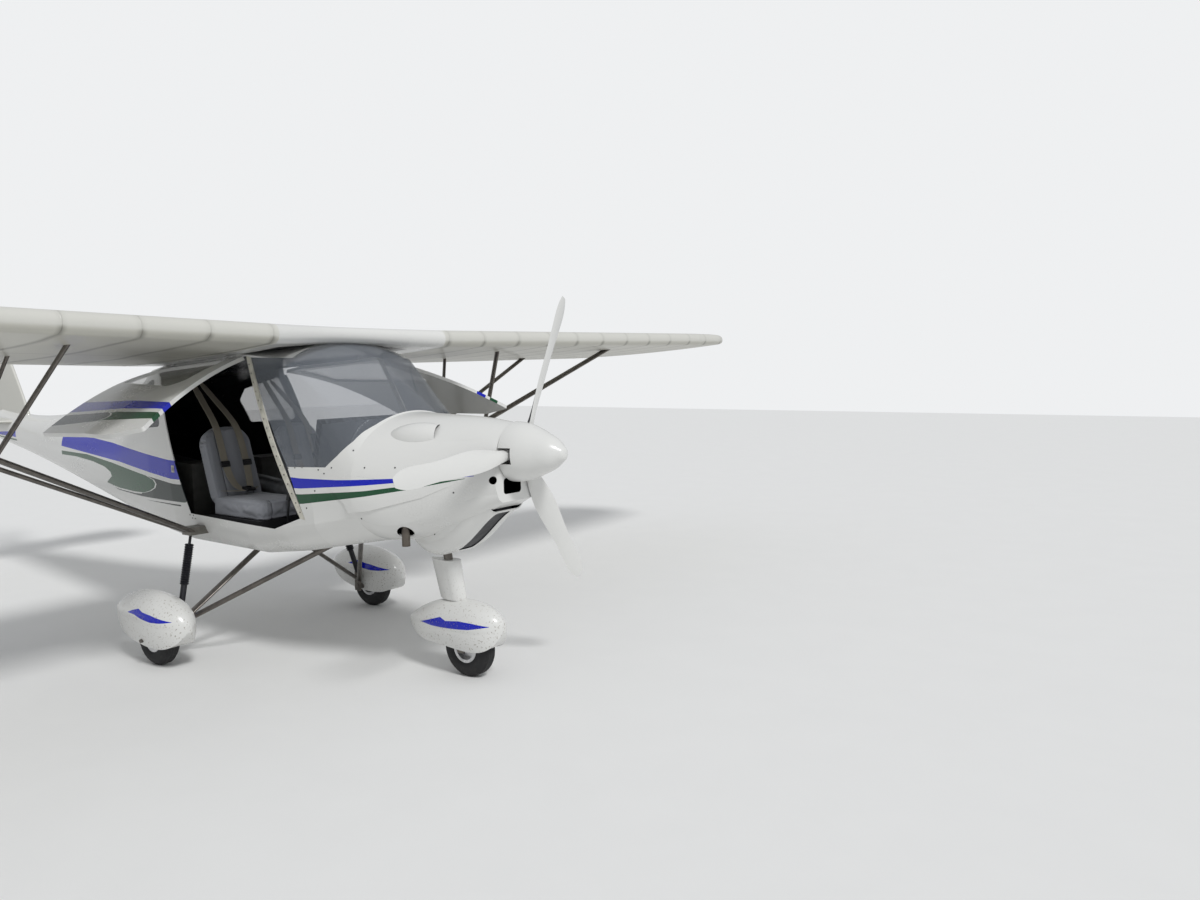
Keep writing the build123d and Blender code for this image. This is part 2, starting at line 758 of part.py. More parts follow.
flap_stations, aileron_stations = (900, 2000), (2600, 3600)
flap = wing_surface(flap_in, flap_out, flap_stations)
aileron = wing_surface(aileron_in, aileron_out, aileron_stations)
bays = hinge_bay(root_y - 10, aileron_out + moving_gap + 2, hinge_r + moving_gap)
wing_lugs = [hinge_lug(on_hinge(y), (1, 0, 0), span_dir) for y in flap_stations + aileron_stations]
wing_half = joined(without(joined(wing_blank.part, wing_tip.part), bays), *wing_lugs)

# Struts, from one fitting on each side of the body up to the wing
fitting_x, fitting_y, fitting_z = 795, 545, 713
front_top = Vector(1440, 2900, 1800)
rear_top = Vector(664, 2800, 1765)
jury_foot_share = 0.486  # up the front strut
strut_chord, strut_thick = 62, 28
front_foot = Vector(fitting_x + 12, fitting_y, fitting_z)
rear_foot = Vector(fitting_x - 28, fitting_y, fitting_z - 6)
jury_foot = front_foot + (front_top - front_foot) * jury_foot_share
jury_rear_foot = rear_foot + (rear_top - rear_foot) * jury_foot_share
tie_down = rod((fitting_x - 1, 508, 680), (fitting_x - 1, 508, 750), 6)
fitting = without(block((752, 380, 690), (836, 566, 736)), cabin_outer, tie_down)
strut_parts = [
    streamlined(front_foot, front_top, strut_chord, strut_thick),
    streamlined(rear_foot, rear_top, strut_chord - 14, strut_thick - 4),
    streamlined(jury_foot, Vector(1438, 1474, 1790), 34, 20),
    streamlined(jury_rear_foot, Vector(900, 1500, 1740), 28, 16),
    rod(jury_foot, jury_rear_foot, 8),
]
save(Compound([fitting, mirrored(fitting)]), "strut_fittings")
strut_set = without(joined(*strut_parts), fitting, wing_half, cabin_outer)
strut_set = max(strut_set.solids(), key=lambda s: s.volume)

for side, name in ((-1, "right"), (1, "left")):
    for part, kind in ((wing_half, "wing"), (flap, "flap"), (aileron, "aileron"), (strut_set, "wing_struts")):
        save(mirrored(part) if side < 0 else part, f"{kind}_{name}")

# Undercarriage. A spat is cut from one egg-shaped form, with room for the wheel.
# x from the axle, half width, low z, middle z, high z
main_spat_rows = [
    (-395, 12, 258, 276, 292),
    (-230, 82, 160, 262, 384),
    (30, 112, 122, 255, 415),
    (210, 90, 138, 245, 362),
    (298, 14, 222, 242, 264),
]
nose_spat_rows = [
    (-428, 12, 240, 258, 276),
    (-240, 78, 165, 252, 375),
    (10, 106, 155, 255, 413),
    (150, 88, 166, 262, 388),
    (238, 14, 268, 290, 312),
]
spat_wall = 5
wheel_clear = 30  # between a tyre and its spat


def spat_form(rows, inset):
    sketches = []
    for x, half, low, middle, high in rows:
        width = half - min(inset, 0.5 * half)
        top = high - min(inset, 0.4 * (high - middle))
        base = low + min(inset, 0.4 * (middle - low))
        with BuildSketch(across(x)) as sketch:
            with BuildLine():
                knee, foot = (0.96 * width, (middle + base) / 2), (0.8 * width, base)
                ThreePointArc(foot, knee, (width, middle))
                ThreePointArc((width, middle), (0.74 * width, middle + 0.7 * (top - middle)), (0, top))
                ThreePointArc((0, top), (-0.74 * width, middle + 0.7 * (top - middle)), (-width, middle))
                ThreePointArc((-width, middle), (-knee[0], knee[1]), (-foot[0], base))
                Line((-foot[0], base), foot)
            make_face()
        sketches.append(sketch.sketch)
    with BuildPart() as form:
        loft(sketches)
    return form.part


def spat_shell(rows, low):
    """A wheel spat, open below, its wheel turning at the origin's X and Y."""
    room = rod((0, -120, tyre_radius), (0, 120, tyre_radius), tyre_radius + wheel_clear)
    shell = without(spat_form(rows, 0), common(room, spat_form(rows, spat_wall)))
    half_slot = tyre_width / 2 + 10
    return without(shell, block((-185, -half_slot, 0), (185, half_slot, low + 42)))


main_spat = spat_shell(main_spat_rows, 122).moved(Location((main_x, main_y, 0)))
nose_spat_whole = spat_shell(nose_spat_rows, 155).moved(Location((nose_wheel_x, 0, 0)))


def wheel_parts():
    """Rim and tyre about the Y axis through the origin."""
    half, rim_half, bore = tyre_width / 2, rim_width / 2, axle_radius + running_fit
    with BuildPart() as rim:
        with BuildSketch(Plane.XY):
            with BuildLine():
                Polyline(
                    (bore, -36),
                    (24, -36),
                    (24, -12),
                    (62, -12),
                    (62, -rim_half),
                    (rim_radius, -rim_half),
                    (rim_radius, rim_half),
                    (62, rim_half),
                    (62, 12),
                    (24, 12),
                    (24, 36),
                    (bore, 36),
                    close=True,
                )
            make_face()
        revolve(axis=Axis.Y)
    bead = half - 8
    with BuildPart() as tyre:
        with BuildSketch(Plane.XY):
            with BuildLine():
                Line((rim_radius, -bead), (rim_radius, bead))
                ThreePointArc((rim_radius, bead), (rim_radius + 42, half), (tyre_radius - 12, half - 12))
                ThreePointArc((tyre_radius - 12, half - 12), (tyre_radius - 4, half - 22), (tyre_radius, 22))
                Line((tyre_radius, 22), (tyre_radius, -22))
                ThreePointArc((tyre_radius, -22), (tyre_radius - 4, 22 - half), (tyre_radius - 12, 12 - half))
                ThreePointArc((tyre_radius - 12, 12 - half), (rim_radius + 42, -half), (rim_radius, -bead))
            make_face()
        revolve(axis=Axis.Y)
    return rim.part, tyre.part


rim_blank, tyre_blank = wheel_parts()
wheel_places = (
    ("right", main_x, -main_y),
    ("left", main_x, main_y),
    ("nose", nose_wheel_x, 0),
)
for name, x, y in wheel_places:
    save(rim_blank.moved(Location((x, y, tyre_radius))), f"rim_{name}")
    save(tyre_blank.moved(Location((x, y, tyre_radius))), f"tyre_{name}")

# Main legs: on each side two arms run from the hub to the belly, with a shock strut above
hub_y, hub_z = 655, 205
hub_point = Vector(main_x, hub_y, hub_z)
flat_arm_top = Vector(900, 30, 640)
round_arm_top = Vector(1600, 30, 690)
flat_arm_chord, flat_arm_thick = 52, 22
round_arm_radius = 15
carrier_top = 258
hub_face = main_y - 42  # inner end of the bare axle
outer_end = main_y + 112
carrier = joined(
    block((main_x - 24, hub_y - 8, 128), (main_x + 24, hub_y + 8, carrier_top)),
    rod((main_x, hub_y - 14, tyre_radius), (main_x, hub_face, tyre_radius), 20),
    rod((main_x, hub_face - 1, tyre_radius), (main_x, outer_end, tyre_radius), axle_radius),
)
arms = joined(
    streamlined(hub_point, flat_arm_top, flat_arm_chord, flat_arm_thick),
    rod(hub_point + Vector(8, 0, 0), round_arm_top, round_arm_radius),
)
arms = without(arms, cabin_outer, block((0, -100, 400), (2000, 6, 900)), block((0, hub_y + 8, 0), (2000, far, 500)))
leg = joined(arms, carrier)
leg = max(leg.solids(), key=lambda s: s.volume)
main_spat = without(main_spat, carrier)

shock_top = Vector(fitting_x - 2, fitting_y - 6, 690)
shock_foot = Vector(main_x, hub_y, carrier_top)
shock_run = (shock_foot - shock_top).length
shock_down = (shock_foot - shock_top).normalized()
shock_side = shock_down.cross(Vector(0, 1, 0)).normalized()
bright_end, gaiter_end = 0.12 * shock_run, 0.66 * shock_run
rib_pitch, rib_out, rib_in = 13, 26, 20
rod_radius, tube_r = 8, 17
with BuildPart() as shock:
    with BuildSketch(Plane(origin=shock_top, x_dir=shock_side, z_dir=shock_side.cross(shock_down))):
        outline = [(0, 0), (rod_radius, 0), (rod_radius, bright_end)]
        ribs = int((gaiter_end - bright_end) // rib_pitch)
        for rib in range(ribs):
            start = bright_end + rib * rib_pitch
            outline.append((rib_in, start))
            outline.append((rib_out, start + 0.5 * rib_pitch))
        gaiter_low = bright_end + ribs * rib_pitch
        outline += [(rib_in, gaiter_low), (tube_r, gaiter_low), (tube_r, shock_run), (0, shock_run)]
        with BuildLine():
            Polyline(*outline, close=True)
        make_face()
    revolve(axis=Axis(shock_top, shock_down))
shock_set = without(shock.part, leg, strut_set, fitting)
shock_set = max(shock_set.solids(), key=lambda s: s.volume)
leg_kinds = ((leg, "main_leg"), (shock_set, "shock_strut"), (main_spat, "main_spat"))
for side, name in ((-1, "right"), (1, "left")):
    for part, kind in leg_kinds:
        save(mirrored(part) if side < 0 else part, f"{kind}_{name}")

# Nose leg: a tube that turns in a socket on the firewall, a fork, a fairing and a spat
leg_radius = 24
socket_low, socket_high = 62, 182  # above the leg's top point, along the leg
socket_radius_outer = 34


def along_leg(down):
    return leg_top + leg_down * down


nose_socket = joined(
    rod(along_leg(-socket_low), along_leg(-socket_high), socket_radius_outer),
    block((firewall_x + firewall_thick, -28, 745), (2270, 28, 795)),
)
nose_socket = without(nose_socket, rod(along_leg(0), along_leg(-400), leg_radius + running_fit))
save(nose_socket, "nose_leg_socket")
crown_z, fork_in, fork_thick = 345, 64, 8
crown_down = (leg_top_z - crown_z) / math.cos(steer_rake)
crown_x = leg_top_x + (leg_top_z - crown_z) * math.tan(steer_rake)
fork_parts = [
    rod(along_leg(-socket_high + 4), along_leg(crown_down), leg_radius),
    block((crown_x - 34, -fork_in - fork_thick, crown_z - 14), (crown_x + 34, fork_in + fork_thick, crown_z + 4)),
    rod((nose_wheel_x, -fork_in - 6, tyre_radius), (nose_wheel_x, fork_in + 6, tyre_radius), axle_radius),
]
for side in (-1, 1):
    y_low, y_high = sorted((side * fork_in, side * (fork_in + fork_thick)))
    arm_outline = [
        (crown_x - 30, crown_z),
        (crown_x + 30, crown_z),
        (nose_wheel_x + 22, tyre_radius - 18),
        (nose_wheel_x - 22, tyre_radius - 18),
    ]
    fork_parts.append(side_prism(arm_outline, y_low, y_high))
    boss_in, boss_out = side * 41.5, side * (fork_in + 1)
    fork_parts.append(rod((nose_wheel_x, boss_in, tyre_radius), (nose_wheel_x, boss_out, tyre_radius), 17))
nose_fork = joined(*fork_parts)
save(nose_fork, "nose_fork")
nose_spat = without(nose_spat_whole, nose_fork)
nose_spat = max(nose_spat.solids(), key=lambda s: s.volume)
save(nose_spat, "nose_spat")
# z, middle x, chord, width
fairing_rows = [(612, 2288, 208, 92), (400, 2340, 186, 78)]
fairing_sketches = []
for z, x, chord, width in fairing_rows:
    with BuildSketch(Plane.XY.offset(z)) as sketch:
        with BuildLine():
            lead, back, side_x = (x + chord / 2, 0), (x - chord / 2, 0), x + 0.12 * chord
            ThreePointArc(lead, (x + 0.38 * chord, 0.36 * width), (side_x, width / 2))
            ThreePointArc((side_x, width / 2), (x - 0.22 * chord, 0.37 * width), back)
            ThreePointArc(back, (x - 0.22 * chord, -0.37 * width), (side_x, -width / 2))
            ThreePointArc((side_x, -width / 2), (x + 0.38 * chord, -0.36 * width), lead)
        make_face()
    fairing_sketches.append(sketch.sketch)
with BuildPart() as fairing:
    loft(fairing_sketches)
spat_solid = spat_form(nose_spat_rows, 0).moved(Location((nose_wheel_x, 0, 0)))
fairing = without(fairing.part, nose_fork, spat_solid)
save(max(fairing.solids(), key=lambda s: s.volume), "nose_leg_fairing")

# Tail: surfaces with a round nose, made from sections of arcs and lines


def tail_section(plane, lead, back, half, nose):
    """A section in plan or in side view: round nose at lead, flat back of the given half width."""
    bulge = ((lead + back) / 2, half * 1.3)
    with BuildSketch(plane) as sketch:
        with BuildLine():
            ThreePointArc((lead - nose, nose), (lead, 0), (lead - nose, -nose))
            ThreePointArc((lead - nose, -nose), (bulge[0], -bulge[1]), (back, -half))
            Line((back, -half), (back, half))
            ThreePointArc((back, half), bulge, (lead - nose, nose))
        make_face()
    return sketch.sketch


def moving_section(plane, axis_x, nose, back, back_half=2):
    """A section of a moving surface: round nose about its hinge line, tapering to the back."""
    with BuildSketch(plane) as sketch:
        with BuildLine():
            ThreePointArc((axis_x, nose), (axis_x + nose, 0), (axis_x, -nose))
            Line((axis_x, -nose), (back, -back_half))
            Line((back, -back_half), (back, back_half))
            Line((back, back_half), (axis_x, nose))
        make_face()
    return sketch.sketch


def tail_loft(sketches):
    with BuildPart() as form:
        loft(sketches)
    return form.part


rudder_nose, elevator_nose = 19, 19
rudder_lean = (rudder_head_x - rudder_foot_x) / (rudder_head_z - rudder_foot_z)


def rudder_axis_x(z):
    return rudder_foot_x + (z - rudder_foot_z) * rudder_lean


def level(z):
    return Plane.XY.offset(z)


fin_back = rudder_nose + moving_gap
# z, nose x, share of full thickness
fin_rows = [(1280, -2187, 1.0), (1760, -2476, 0.95), (2180, -2729, 0.8), (2340, -2800, 0.4)]
fin_sketches = []
for z, lead, share in fin_rows:
    back = rudder_axis_x(z) + fin_back
    fin_sketches.append(tail_section(level(z), lead, back, rudder_nose * share, 13 * share))
# z, back x, share of full thickness
rudder_rows = [(1185, -3040, 1.0), (1700, -3078, 1.0), (2220, -3100, 0.9), (2332, -3060, 0.5)]
rudder_sketches = []
for z, back, share in rudder_rows:
    rudder_sketches.append(moving_section(level(z), rudder_axis_x(z), rudder_nose * share, back))
rudder_axis = Vector(rudder_lean, 0, 1).normalized()
rudder_forward = Vector(1, 0, -rudder_lean).normalized()
rudder_hinges = [Vector(rudder_axis_x(z), 0, z) for z in (1420, 2090)]
rudder_lugs = [hinge_lug(c, rudder_forward, rudder_axis) for c in rudder_hinges]
fin = joined(without(tail_loft(fin_sketches), rear_outer), *rudder_lugs)
save(fin, "fin")
save(hung_surface(tail_loft(rudder_sketches), rudder_hinges, rudder_forward, rudder_axis), "rudder")

tail_low = -elevator_z
elevator_back = elevator_nose + moving_gap
# y, nose x, back x of the elevator, share of full thickness
tailplane_rows = [
    (70, -2195, -2878, 1.0),
    (700, -2272, -2868, 1.0),
    (1080, -2325, -2850, 0.85),
    (elevator_tip_y, -2400, -2800, 0.4),
]
tail_sketches, elevator_sketches = [], []
for y, lead, back, share in tailplane_rows:
    plane = Plane(origin=(0, y, elevator_z), x_dir=(1, 0, 0), z_dir=(0, -1, 0))
    tail_sketches.append(tail_section(plane, lead, elevator_x + elevator_back, elevator_nose * share, 13 * share))
    elevator_sketches.append(moving_section(plane, elevator_x, elevator_nose * share, back))
elevator_hinges = [Vector(elevator_x, y, elevator_z) for y in (330, 960)]
elevator_lugs = [hinge_lug(c, (1, 0, 0), (0, 1, 0)) for c in elevator_hinges]
tailplane = joined(without(tail_loft(tail_sketches), rear_outer, fin), *elevator_lugs)
elevator_half = hung_surface(tail_loft(elevator_sketches), elevator_hinges, (1, 0, 0), (0, 1, 0))
with BuildPart() as rudder_room:
    with BuildSketch(Plane.XY.offset(elevator_z - 100)):
        with BuildLine():
            Polyline((-2500, -10), (-2500, 72), (-2650, 72), (-2950, 225), (-2950, -10), close=True)
        make_face()
    extrude(amount=200)
elevator_half = without(elevator_half, rudder_room.part)
torque_radius = 14
torque_tube = rod((elevator_x, -78, elevator_z), (elevator_x, 78, elevator_z), torque_radius)
elevator = joined(elevator_half, mirrored(elevator_half), torque_tube)
save(elevator, "elevator")
save(mirrored(tailplane), "tailplane_right")
save(tailplane, "tailplane_left")
sternpost = block((-2652, -15, 1130), (tail_x, 15, 1345))
torque_bore = rod((elevator_x, -50, elevator_z), (elevator_x, 50, elevator_z), torque_radius + running_fit)
rear_fuselage = without(joined(rear_fuselage, without(sternpost, torque_bore)), fin)
save(rear_fuselage, "rear_fuselage")

# Doors, hinged along the top and standing open
door_inner = body_form(cabin_sections, door_depth, ruled=True)
door_window = [(478, 1612), (574, 1362), (1292, 1240), (1356, 1304), (1216, 1664)]
door_window_radii = {0: 30, 1: 30, 2: 50, 3: 60, 4: 18}
door_zone = side_prism(door_outline, -far, 0, door_radii, door_gap)
pane_zone = side_prism(door_window, -far, 0, door_window_radii)
hinge_run = (hinge_front - hinge_rear).normalized()
hinge_length = (hinge_front - hinge_rear).length
door_axis = Axis(hinge_rear, hinge_run)
knuckle, knuckle_gap = 40, 5.5


def on_door_hinge(distance):
    return hinge_rear + hinge_run * distance


frame_blank = without(common(cabin_outer, door_zone), door_inner, pane_zone)
frame_parts = [frame_blank]
roof_brackets, knuckle_rooms = [], []
for share in (0.16, 0.84):
    middle = share * hinge_length
    centre = on_door_hinge(middle)
    frame_parts.append(rod(on_door_hinge(middle - knuckle / 2), on_door_hinge(middle + knuckle / 2), hinge_barrel_radius))
    leaf_low = (centre.X - 16, centre.Y - 4, centre.Z - 38)
    frame_parts.append(block(leaf_low, (centre.X + 16, centre.Y + 4, centre.Z)))
    room_half = knuckle / 2 + knuckle_gap
    knuckle_rooms.append(rod(on_door_hinge(middle - room_half), on_door_hinge(middle + room_half), 14))
    for way in (-1, 1):
        near = middle + way * (knuckle / 2 + knuckle_gap)
        end = near + way * 24
        post = on_door_hinge((near + end) / 2)
        roof_brackets.append(rod(on_door_hinge(near), on_door_hinge(end), hinge_barrel_radius))
        roof_brackets.append(rod(on_door_hinge(middle), on_door_hinge(end), hinge_pin_radius))
        roof_brackets.append(block((post.X - 9, post.Y - 5, post.Z), (post.X + 9, post.Y + 5, post.Z + 24)))
pin_bore = rod(hinge_rear, hinge_front, hinge_pin_radius + running_fit)
door_frame = without(joined(*frame_parts), pin_bore)
pane = common(cabin_shell, pane_zone)
open_frame = door_frame.rotate(door_axis, -door_open_angle)
open_pane = pane.rotate(door_axis, -door_open_angle)
save(open_frame, "door_right")
save(mirrored(open_frame), "door_left")
save(open_pane, "door_window_right")
save(mirrored(open_pane), "door_window_left")
roof = without(roof, *knuckle_rooms, *[mirrored(room) for room in knuckle_rooms])
roof = joined(roof, *roof_brackets, *[mirrored(bracket) for bracket in roof_brackets])
save(roof, "cabin_roof")
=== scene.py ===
import math
import bpy
from mathutils import Matrix, Vector
from mathutils.bvhtree import BVHTree


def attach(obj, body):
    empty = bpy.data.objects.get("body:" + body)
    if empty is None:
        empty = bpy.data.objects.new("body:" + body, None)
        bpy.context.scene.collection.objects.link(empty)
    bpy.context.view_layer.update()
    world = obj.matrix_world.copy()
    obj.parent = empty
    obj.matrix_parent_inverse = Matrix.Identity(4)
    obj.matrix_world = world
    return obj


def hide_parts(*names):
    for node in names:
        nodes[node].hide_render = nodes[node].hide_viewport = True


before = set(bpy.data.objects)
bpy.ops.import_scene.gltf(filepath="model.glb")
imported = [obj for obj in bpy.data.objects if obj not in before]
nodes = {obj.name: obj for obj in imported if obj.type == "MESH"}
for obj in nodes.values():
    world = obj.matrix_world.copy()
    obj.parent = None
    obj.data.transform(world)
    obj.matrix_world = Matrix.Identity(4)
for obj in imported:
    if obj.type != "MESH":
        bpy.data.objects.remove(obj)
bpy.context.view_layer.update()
print("frame loaded:", len(nodes), "nodes")


# Camera, at the photograph's place and angle
cameraView = {
    "place": (5.802, -3.686, 1.619),
    "yaw": 124.17,
    "pitch": -4.871,
    "roll": -0.577,
    "lens": 28.354,
}


def makeCamera(view):
    yaw, pitch, roll = (math.radians(view[key]) for key in ("yaw", "pitch", "roll"))
    ahead = Vector((math.cos(pitch) * math.cos(yaw), math.cos(pitch) * math.sin(yaw), math.sin(pitch)))
    right = ahead.cross(Vector((0, 0, 1))).normalized()
    up = right.cross(ahead)
    turnedRight = math.cos(roll) * right + math.sin(roll) * up
    turnedUp = math.cos(roll) * up - math.sin(roll) * right
    data = bpy.data.cameras.new("photoCamera")
    data.lens = view["lens"]
    data.sensor_width = 36
    data.clip_end = 200
    camera = bpy.data.objects.new("photoCamera", data)
    bpy.context.collection.objects.link(camera)
    facing = Matrix((turnedRight, turnedUp, -ahead)).transposed().to_4x4()
    facing.translation = Vector(view["place"])
    camera.matrix_world = facing
    bpy.context.scene.camera = camera


makeCamera(cameraView)
bpy.context.scene.view_settings.view_transform = "Standard"


# Shader maths: a Num wraps one socket, a Finish makes one material's nodes
class Num:
    def __init__(self, finish, socket):
        self.finish, self.socket = finish, socket

    def __add__(self, other):
        return self.finish.calc("ADD", self, other)

    def __sub__(self, other):
        return self.finish.calc("SUBTRACT", self, other)

    def __rsub__(self, other):
        return self.finish.calc("SUBTRACT", other, self)

    def __mul__(self, other):
        return self.finish.calc("MULTIPLY", self, other)

    def __truediv__(self, other):
        return self.finish.calc("DIVIDE", self, other)

    def __lt__(self, other):
        return self.finish.calc("LESS_THAN", self, other)

    def __gt__(self, other):
        return self.finish.calc("GREATER_THAN", self, other)

    __radd__ = __add__
    __rmul__ = __mul__


class Finish:
    def __init__(self, name):
        self.material = bpy.data.materials.new(name)
        self.material.use_nodes = True
        self.tree = self.material.node_tree
        self.tree.nodes.clear()
        self.output = self.tree.nodes.new("ShaderNodeOutputMaterial")
        self.known = {}

    def node(self, kind, settings=None, values=None, out=0):
        made = self.tree.nodes.new(kind)
        for key, value in (settings or {}).items():
            if key == "stops":
                for _ in range(len(value) - 2):
                    made.color_ramp.elements.new(0.5)
                for element, (place, colour) in zip(made.color_ramp.elements, value):
                    element.position = place
                    element.color = colour
            else:
                setattr(made, key, value)
        for key, value in (values or {}).items():
            if isinstance(value, Num):
                self.tree.links.new(value.socket, made.inputs[key])
            else:
                made.inputs[key].default_value = value
        return Num(self, made.outputs[out])

    def calc(self, operation, *values):
        return self.node("ShaderNodeMath", {"operation": operation}, dict(enumerate(values)))

    def magnitude(self, value):
        return self.calc("ABSOLUTE", value)

    def place(self):
        if "place" not in self.known:
            self.known["place"] = self.node("ShaderNodeTexCoord", out=3)
        return self.known["place"]

    def axes(self):
        if "axes" not in self.known:
            split = self.node("ShaderNodeSeparateXYZ", None, {0: self.place()})
            self.known["axes"] = [Num(self, socket) for socket in split.socket.node.outputs]
        return self.known["axes"]

    def facing(self, direction):  # how far the surface looks that way, from -1 to 1
        normal = self.node("ShaderNodeTexCoord", out=1)
        return self.node("ShaderNodeVectorMath", {"operation": "DOT_PRODUCT"}, {0: normal, 1: direction}, out=1)

    def dot(self, direction, offset=0.0):
        made = self.node("ShaderNodeVectorMath", {"operation": "DOT_PRODUCT"}, {0: self.place(), 1: direction}, out=1)
        return made + offset

    def noise(self, scale, detail=3, roughness=0.55, stretch=None):
        place = self.place()
        if stretch:
            place = self.node("ShaderNodeMapping", None, {0: place, 3: stretch})
        return self.node("ShaderNodeTexNoise", None, {0: place, 2: scale, 3: detail, 4: roughness})

    def line(self, away, inner, outer):  # 1 along a line, fading out between two distances from it
        return 1 - self.smooth(self.magnitude(away), inner, outer)

    def mix(self, factor, first, second):
        colours = [(*c, 1) if isinstance(c, tuple) and len(c) == 3 else c for c in (first, second)]
        return self.node("ShaderNodeMix", {"data_type": "RGBA"}, {0: factor, 6: colours[0], 7: colours[1]}, out=2)

    def smooth(self, value, low, high):
        return self.node("ShaderNodeMapRange", {"interpolation_type": "SMOOTHSTEP"}, {0: value, 1: low, 2: high})

    def profile(self, along, points):  # a height that runs through the given points
        first, last = points[0][0], points[-1][0]
        low = min(point[1] for point in points)
        span = max(point[1] for point in points) - low or 1.0
        stops = []
        for where, height in points:
            grey = (height - low) / span
            stops.append(((where - first) / (last - first), (grey, grey, grey, 1)))
        share = (along - first) * (1 / (last - first))
        return self.node("ShaderNodeValToRGB", {"stops": stops}, {0: share}) * span + low

    def bump(self, height, strength, distance):
        return self.node("ShaderNodeBump", None, {0: strength, 1: distance, "Height": height})

    def surface(self, **values):
        keys = {
            "colour": "Base Color",
            "rough": "Roughness",
            "metal": "Metallic",
            "coat": "Coat Weight",
            "coatRough": "Coat Roughness",
            "alpha": "Alpha",
            "normal": "Normal",
            "sheen": "Sheen Weight",
            "specular": "Specular IOR Level",
        }
        inputs = {}
        for key, value in values.items():
            inputs[keys[key]] = (*value, 1) if isinstance(value, tuple) and len(value) == 3 else value
        shader = self.node("ShaderNodeBsdfPrincipled", None, inputs)
        self.tree.links.new(shader.socket, self.output.inputs[0])
        return self.material


def dress(material, *names):
    for name in names:
        slots = nodes[name].data.materials
        if len(slots):
            for index in range(len(slots)):
                slots[index] = material
        else:
            slots.append(material)
    return material


def darker(colour, share):
    return tuple(part * share for part in colour)


# Floor and light
stageLook = {
    "floor": (0.80, 0.80, 0.79),
    "size": 60,
    "seenSky": (0.86, 0.87, 0.88, 1),
    "skyLight": (0.95, 0.97, 1.0, 1),
    "sky": 0.55,
    "sun": 1.75,
    "sunWidth": 12,
    "sunTurn": (28, 34, 20),
}


def makeStage(look):
    bpy.ops.object.select_all(action="DESELECT")
    bpy.ops.mesh.primitive_plane_add(size=look["size"])
    floor = bpy.context.object
    floor.name = "studioFloor"
    paint = Finish("studioFloor")
    grain = paint.noise(3.0, 2)
    colour = paint.mix(grain, look["floor"], darker(look["floor"], 0.97))
    floor.data.materials.append(paint.surface(colour=colour, rough=0.9))
    world = bpy.data.worlds.new("studioSky")
    bpy.context.scene.world = world
    world.use_nodes = True
    tree = world.node_tree
    tree.nodes.clear()
    seen = tree.nodes.new("ShaderNodeBackground")
    seen.inputs[0].default_value = look["seenSky"]
    seen.inputs[1].default_value = 1.0
    lit = tree.nodes.new("ShaderNodeBackground")
    lit.inputs[0].default_value = look["skyLight"]
    lit.inputs[1].default_value = look["sky"]
    rays = tree.nodes.new("ShaderNodeLightPath")
    either = tree.nodes.new("ShaderNodeMath")
    either.operation = "MAXIMUM"
    tree.links.new(rays.outputs["Is Camera Ray"], either.inputs[0])
    tree.links.new(rays.outputs["Is Transmission Ray"], either.inputs[1])
    mixed = tree.nodes.new("ShaderNodeMixShader")
    tree.links.new(either.outputs[0], mixed.inputs[0])
    tree.links.new(lit.outputs[0], mixed.inputs[1])
    tree.links.new(seen.outputs[0], mixed.inputs[2])
    output = tree.nodes.new("ShaderNodeOutputWorld")
    tree.links.new(mixed.outputs[0], output.inputs[0])
    data = bpy.data.lights.new("highSun", "SUN")
    data.energy = look["sun"]
    data.angle = math.radians(look["sunWidth"])
    sun = bpy.data.objects.new("highSun", data)
    sun.rotation_euler = [math.radians(angle) for angle in look["sunTurn"]]
    bpy.context.collection.objects.link(sun)


makeStage(stageLook)
print("camera and stage done")

shell = {
    "white": (0.70, 0.70, 0.68),
    "blue": (0.0, 0.008, 0.43),
    # the next two colours are painted shade: near black for the cabin's inner faces, grey for the doors' inner faces
    "inside": (0.012, 0.013, 0.016),
    "doorInsideShade": (0.30, 0.30, 0.28),
    "splash": (0.16, 0.12, 0.075),
    "splashHeight": (0.15, 0.75),
    "insideShadeMiddle": 1.15,
}

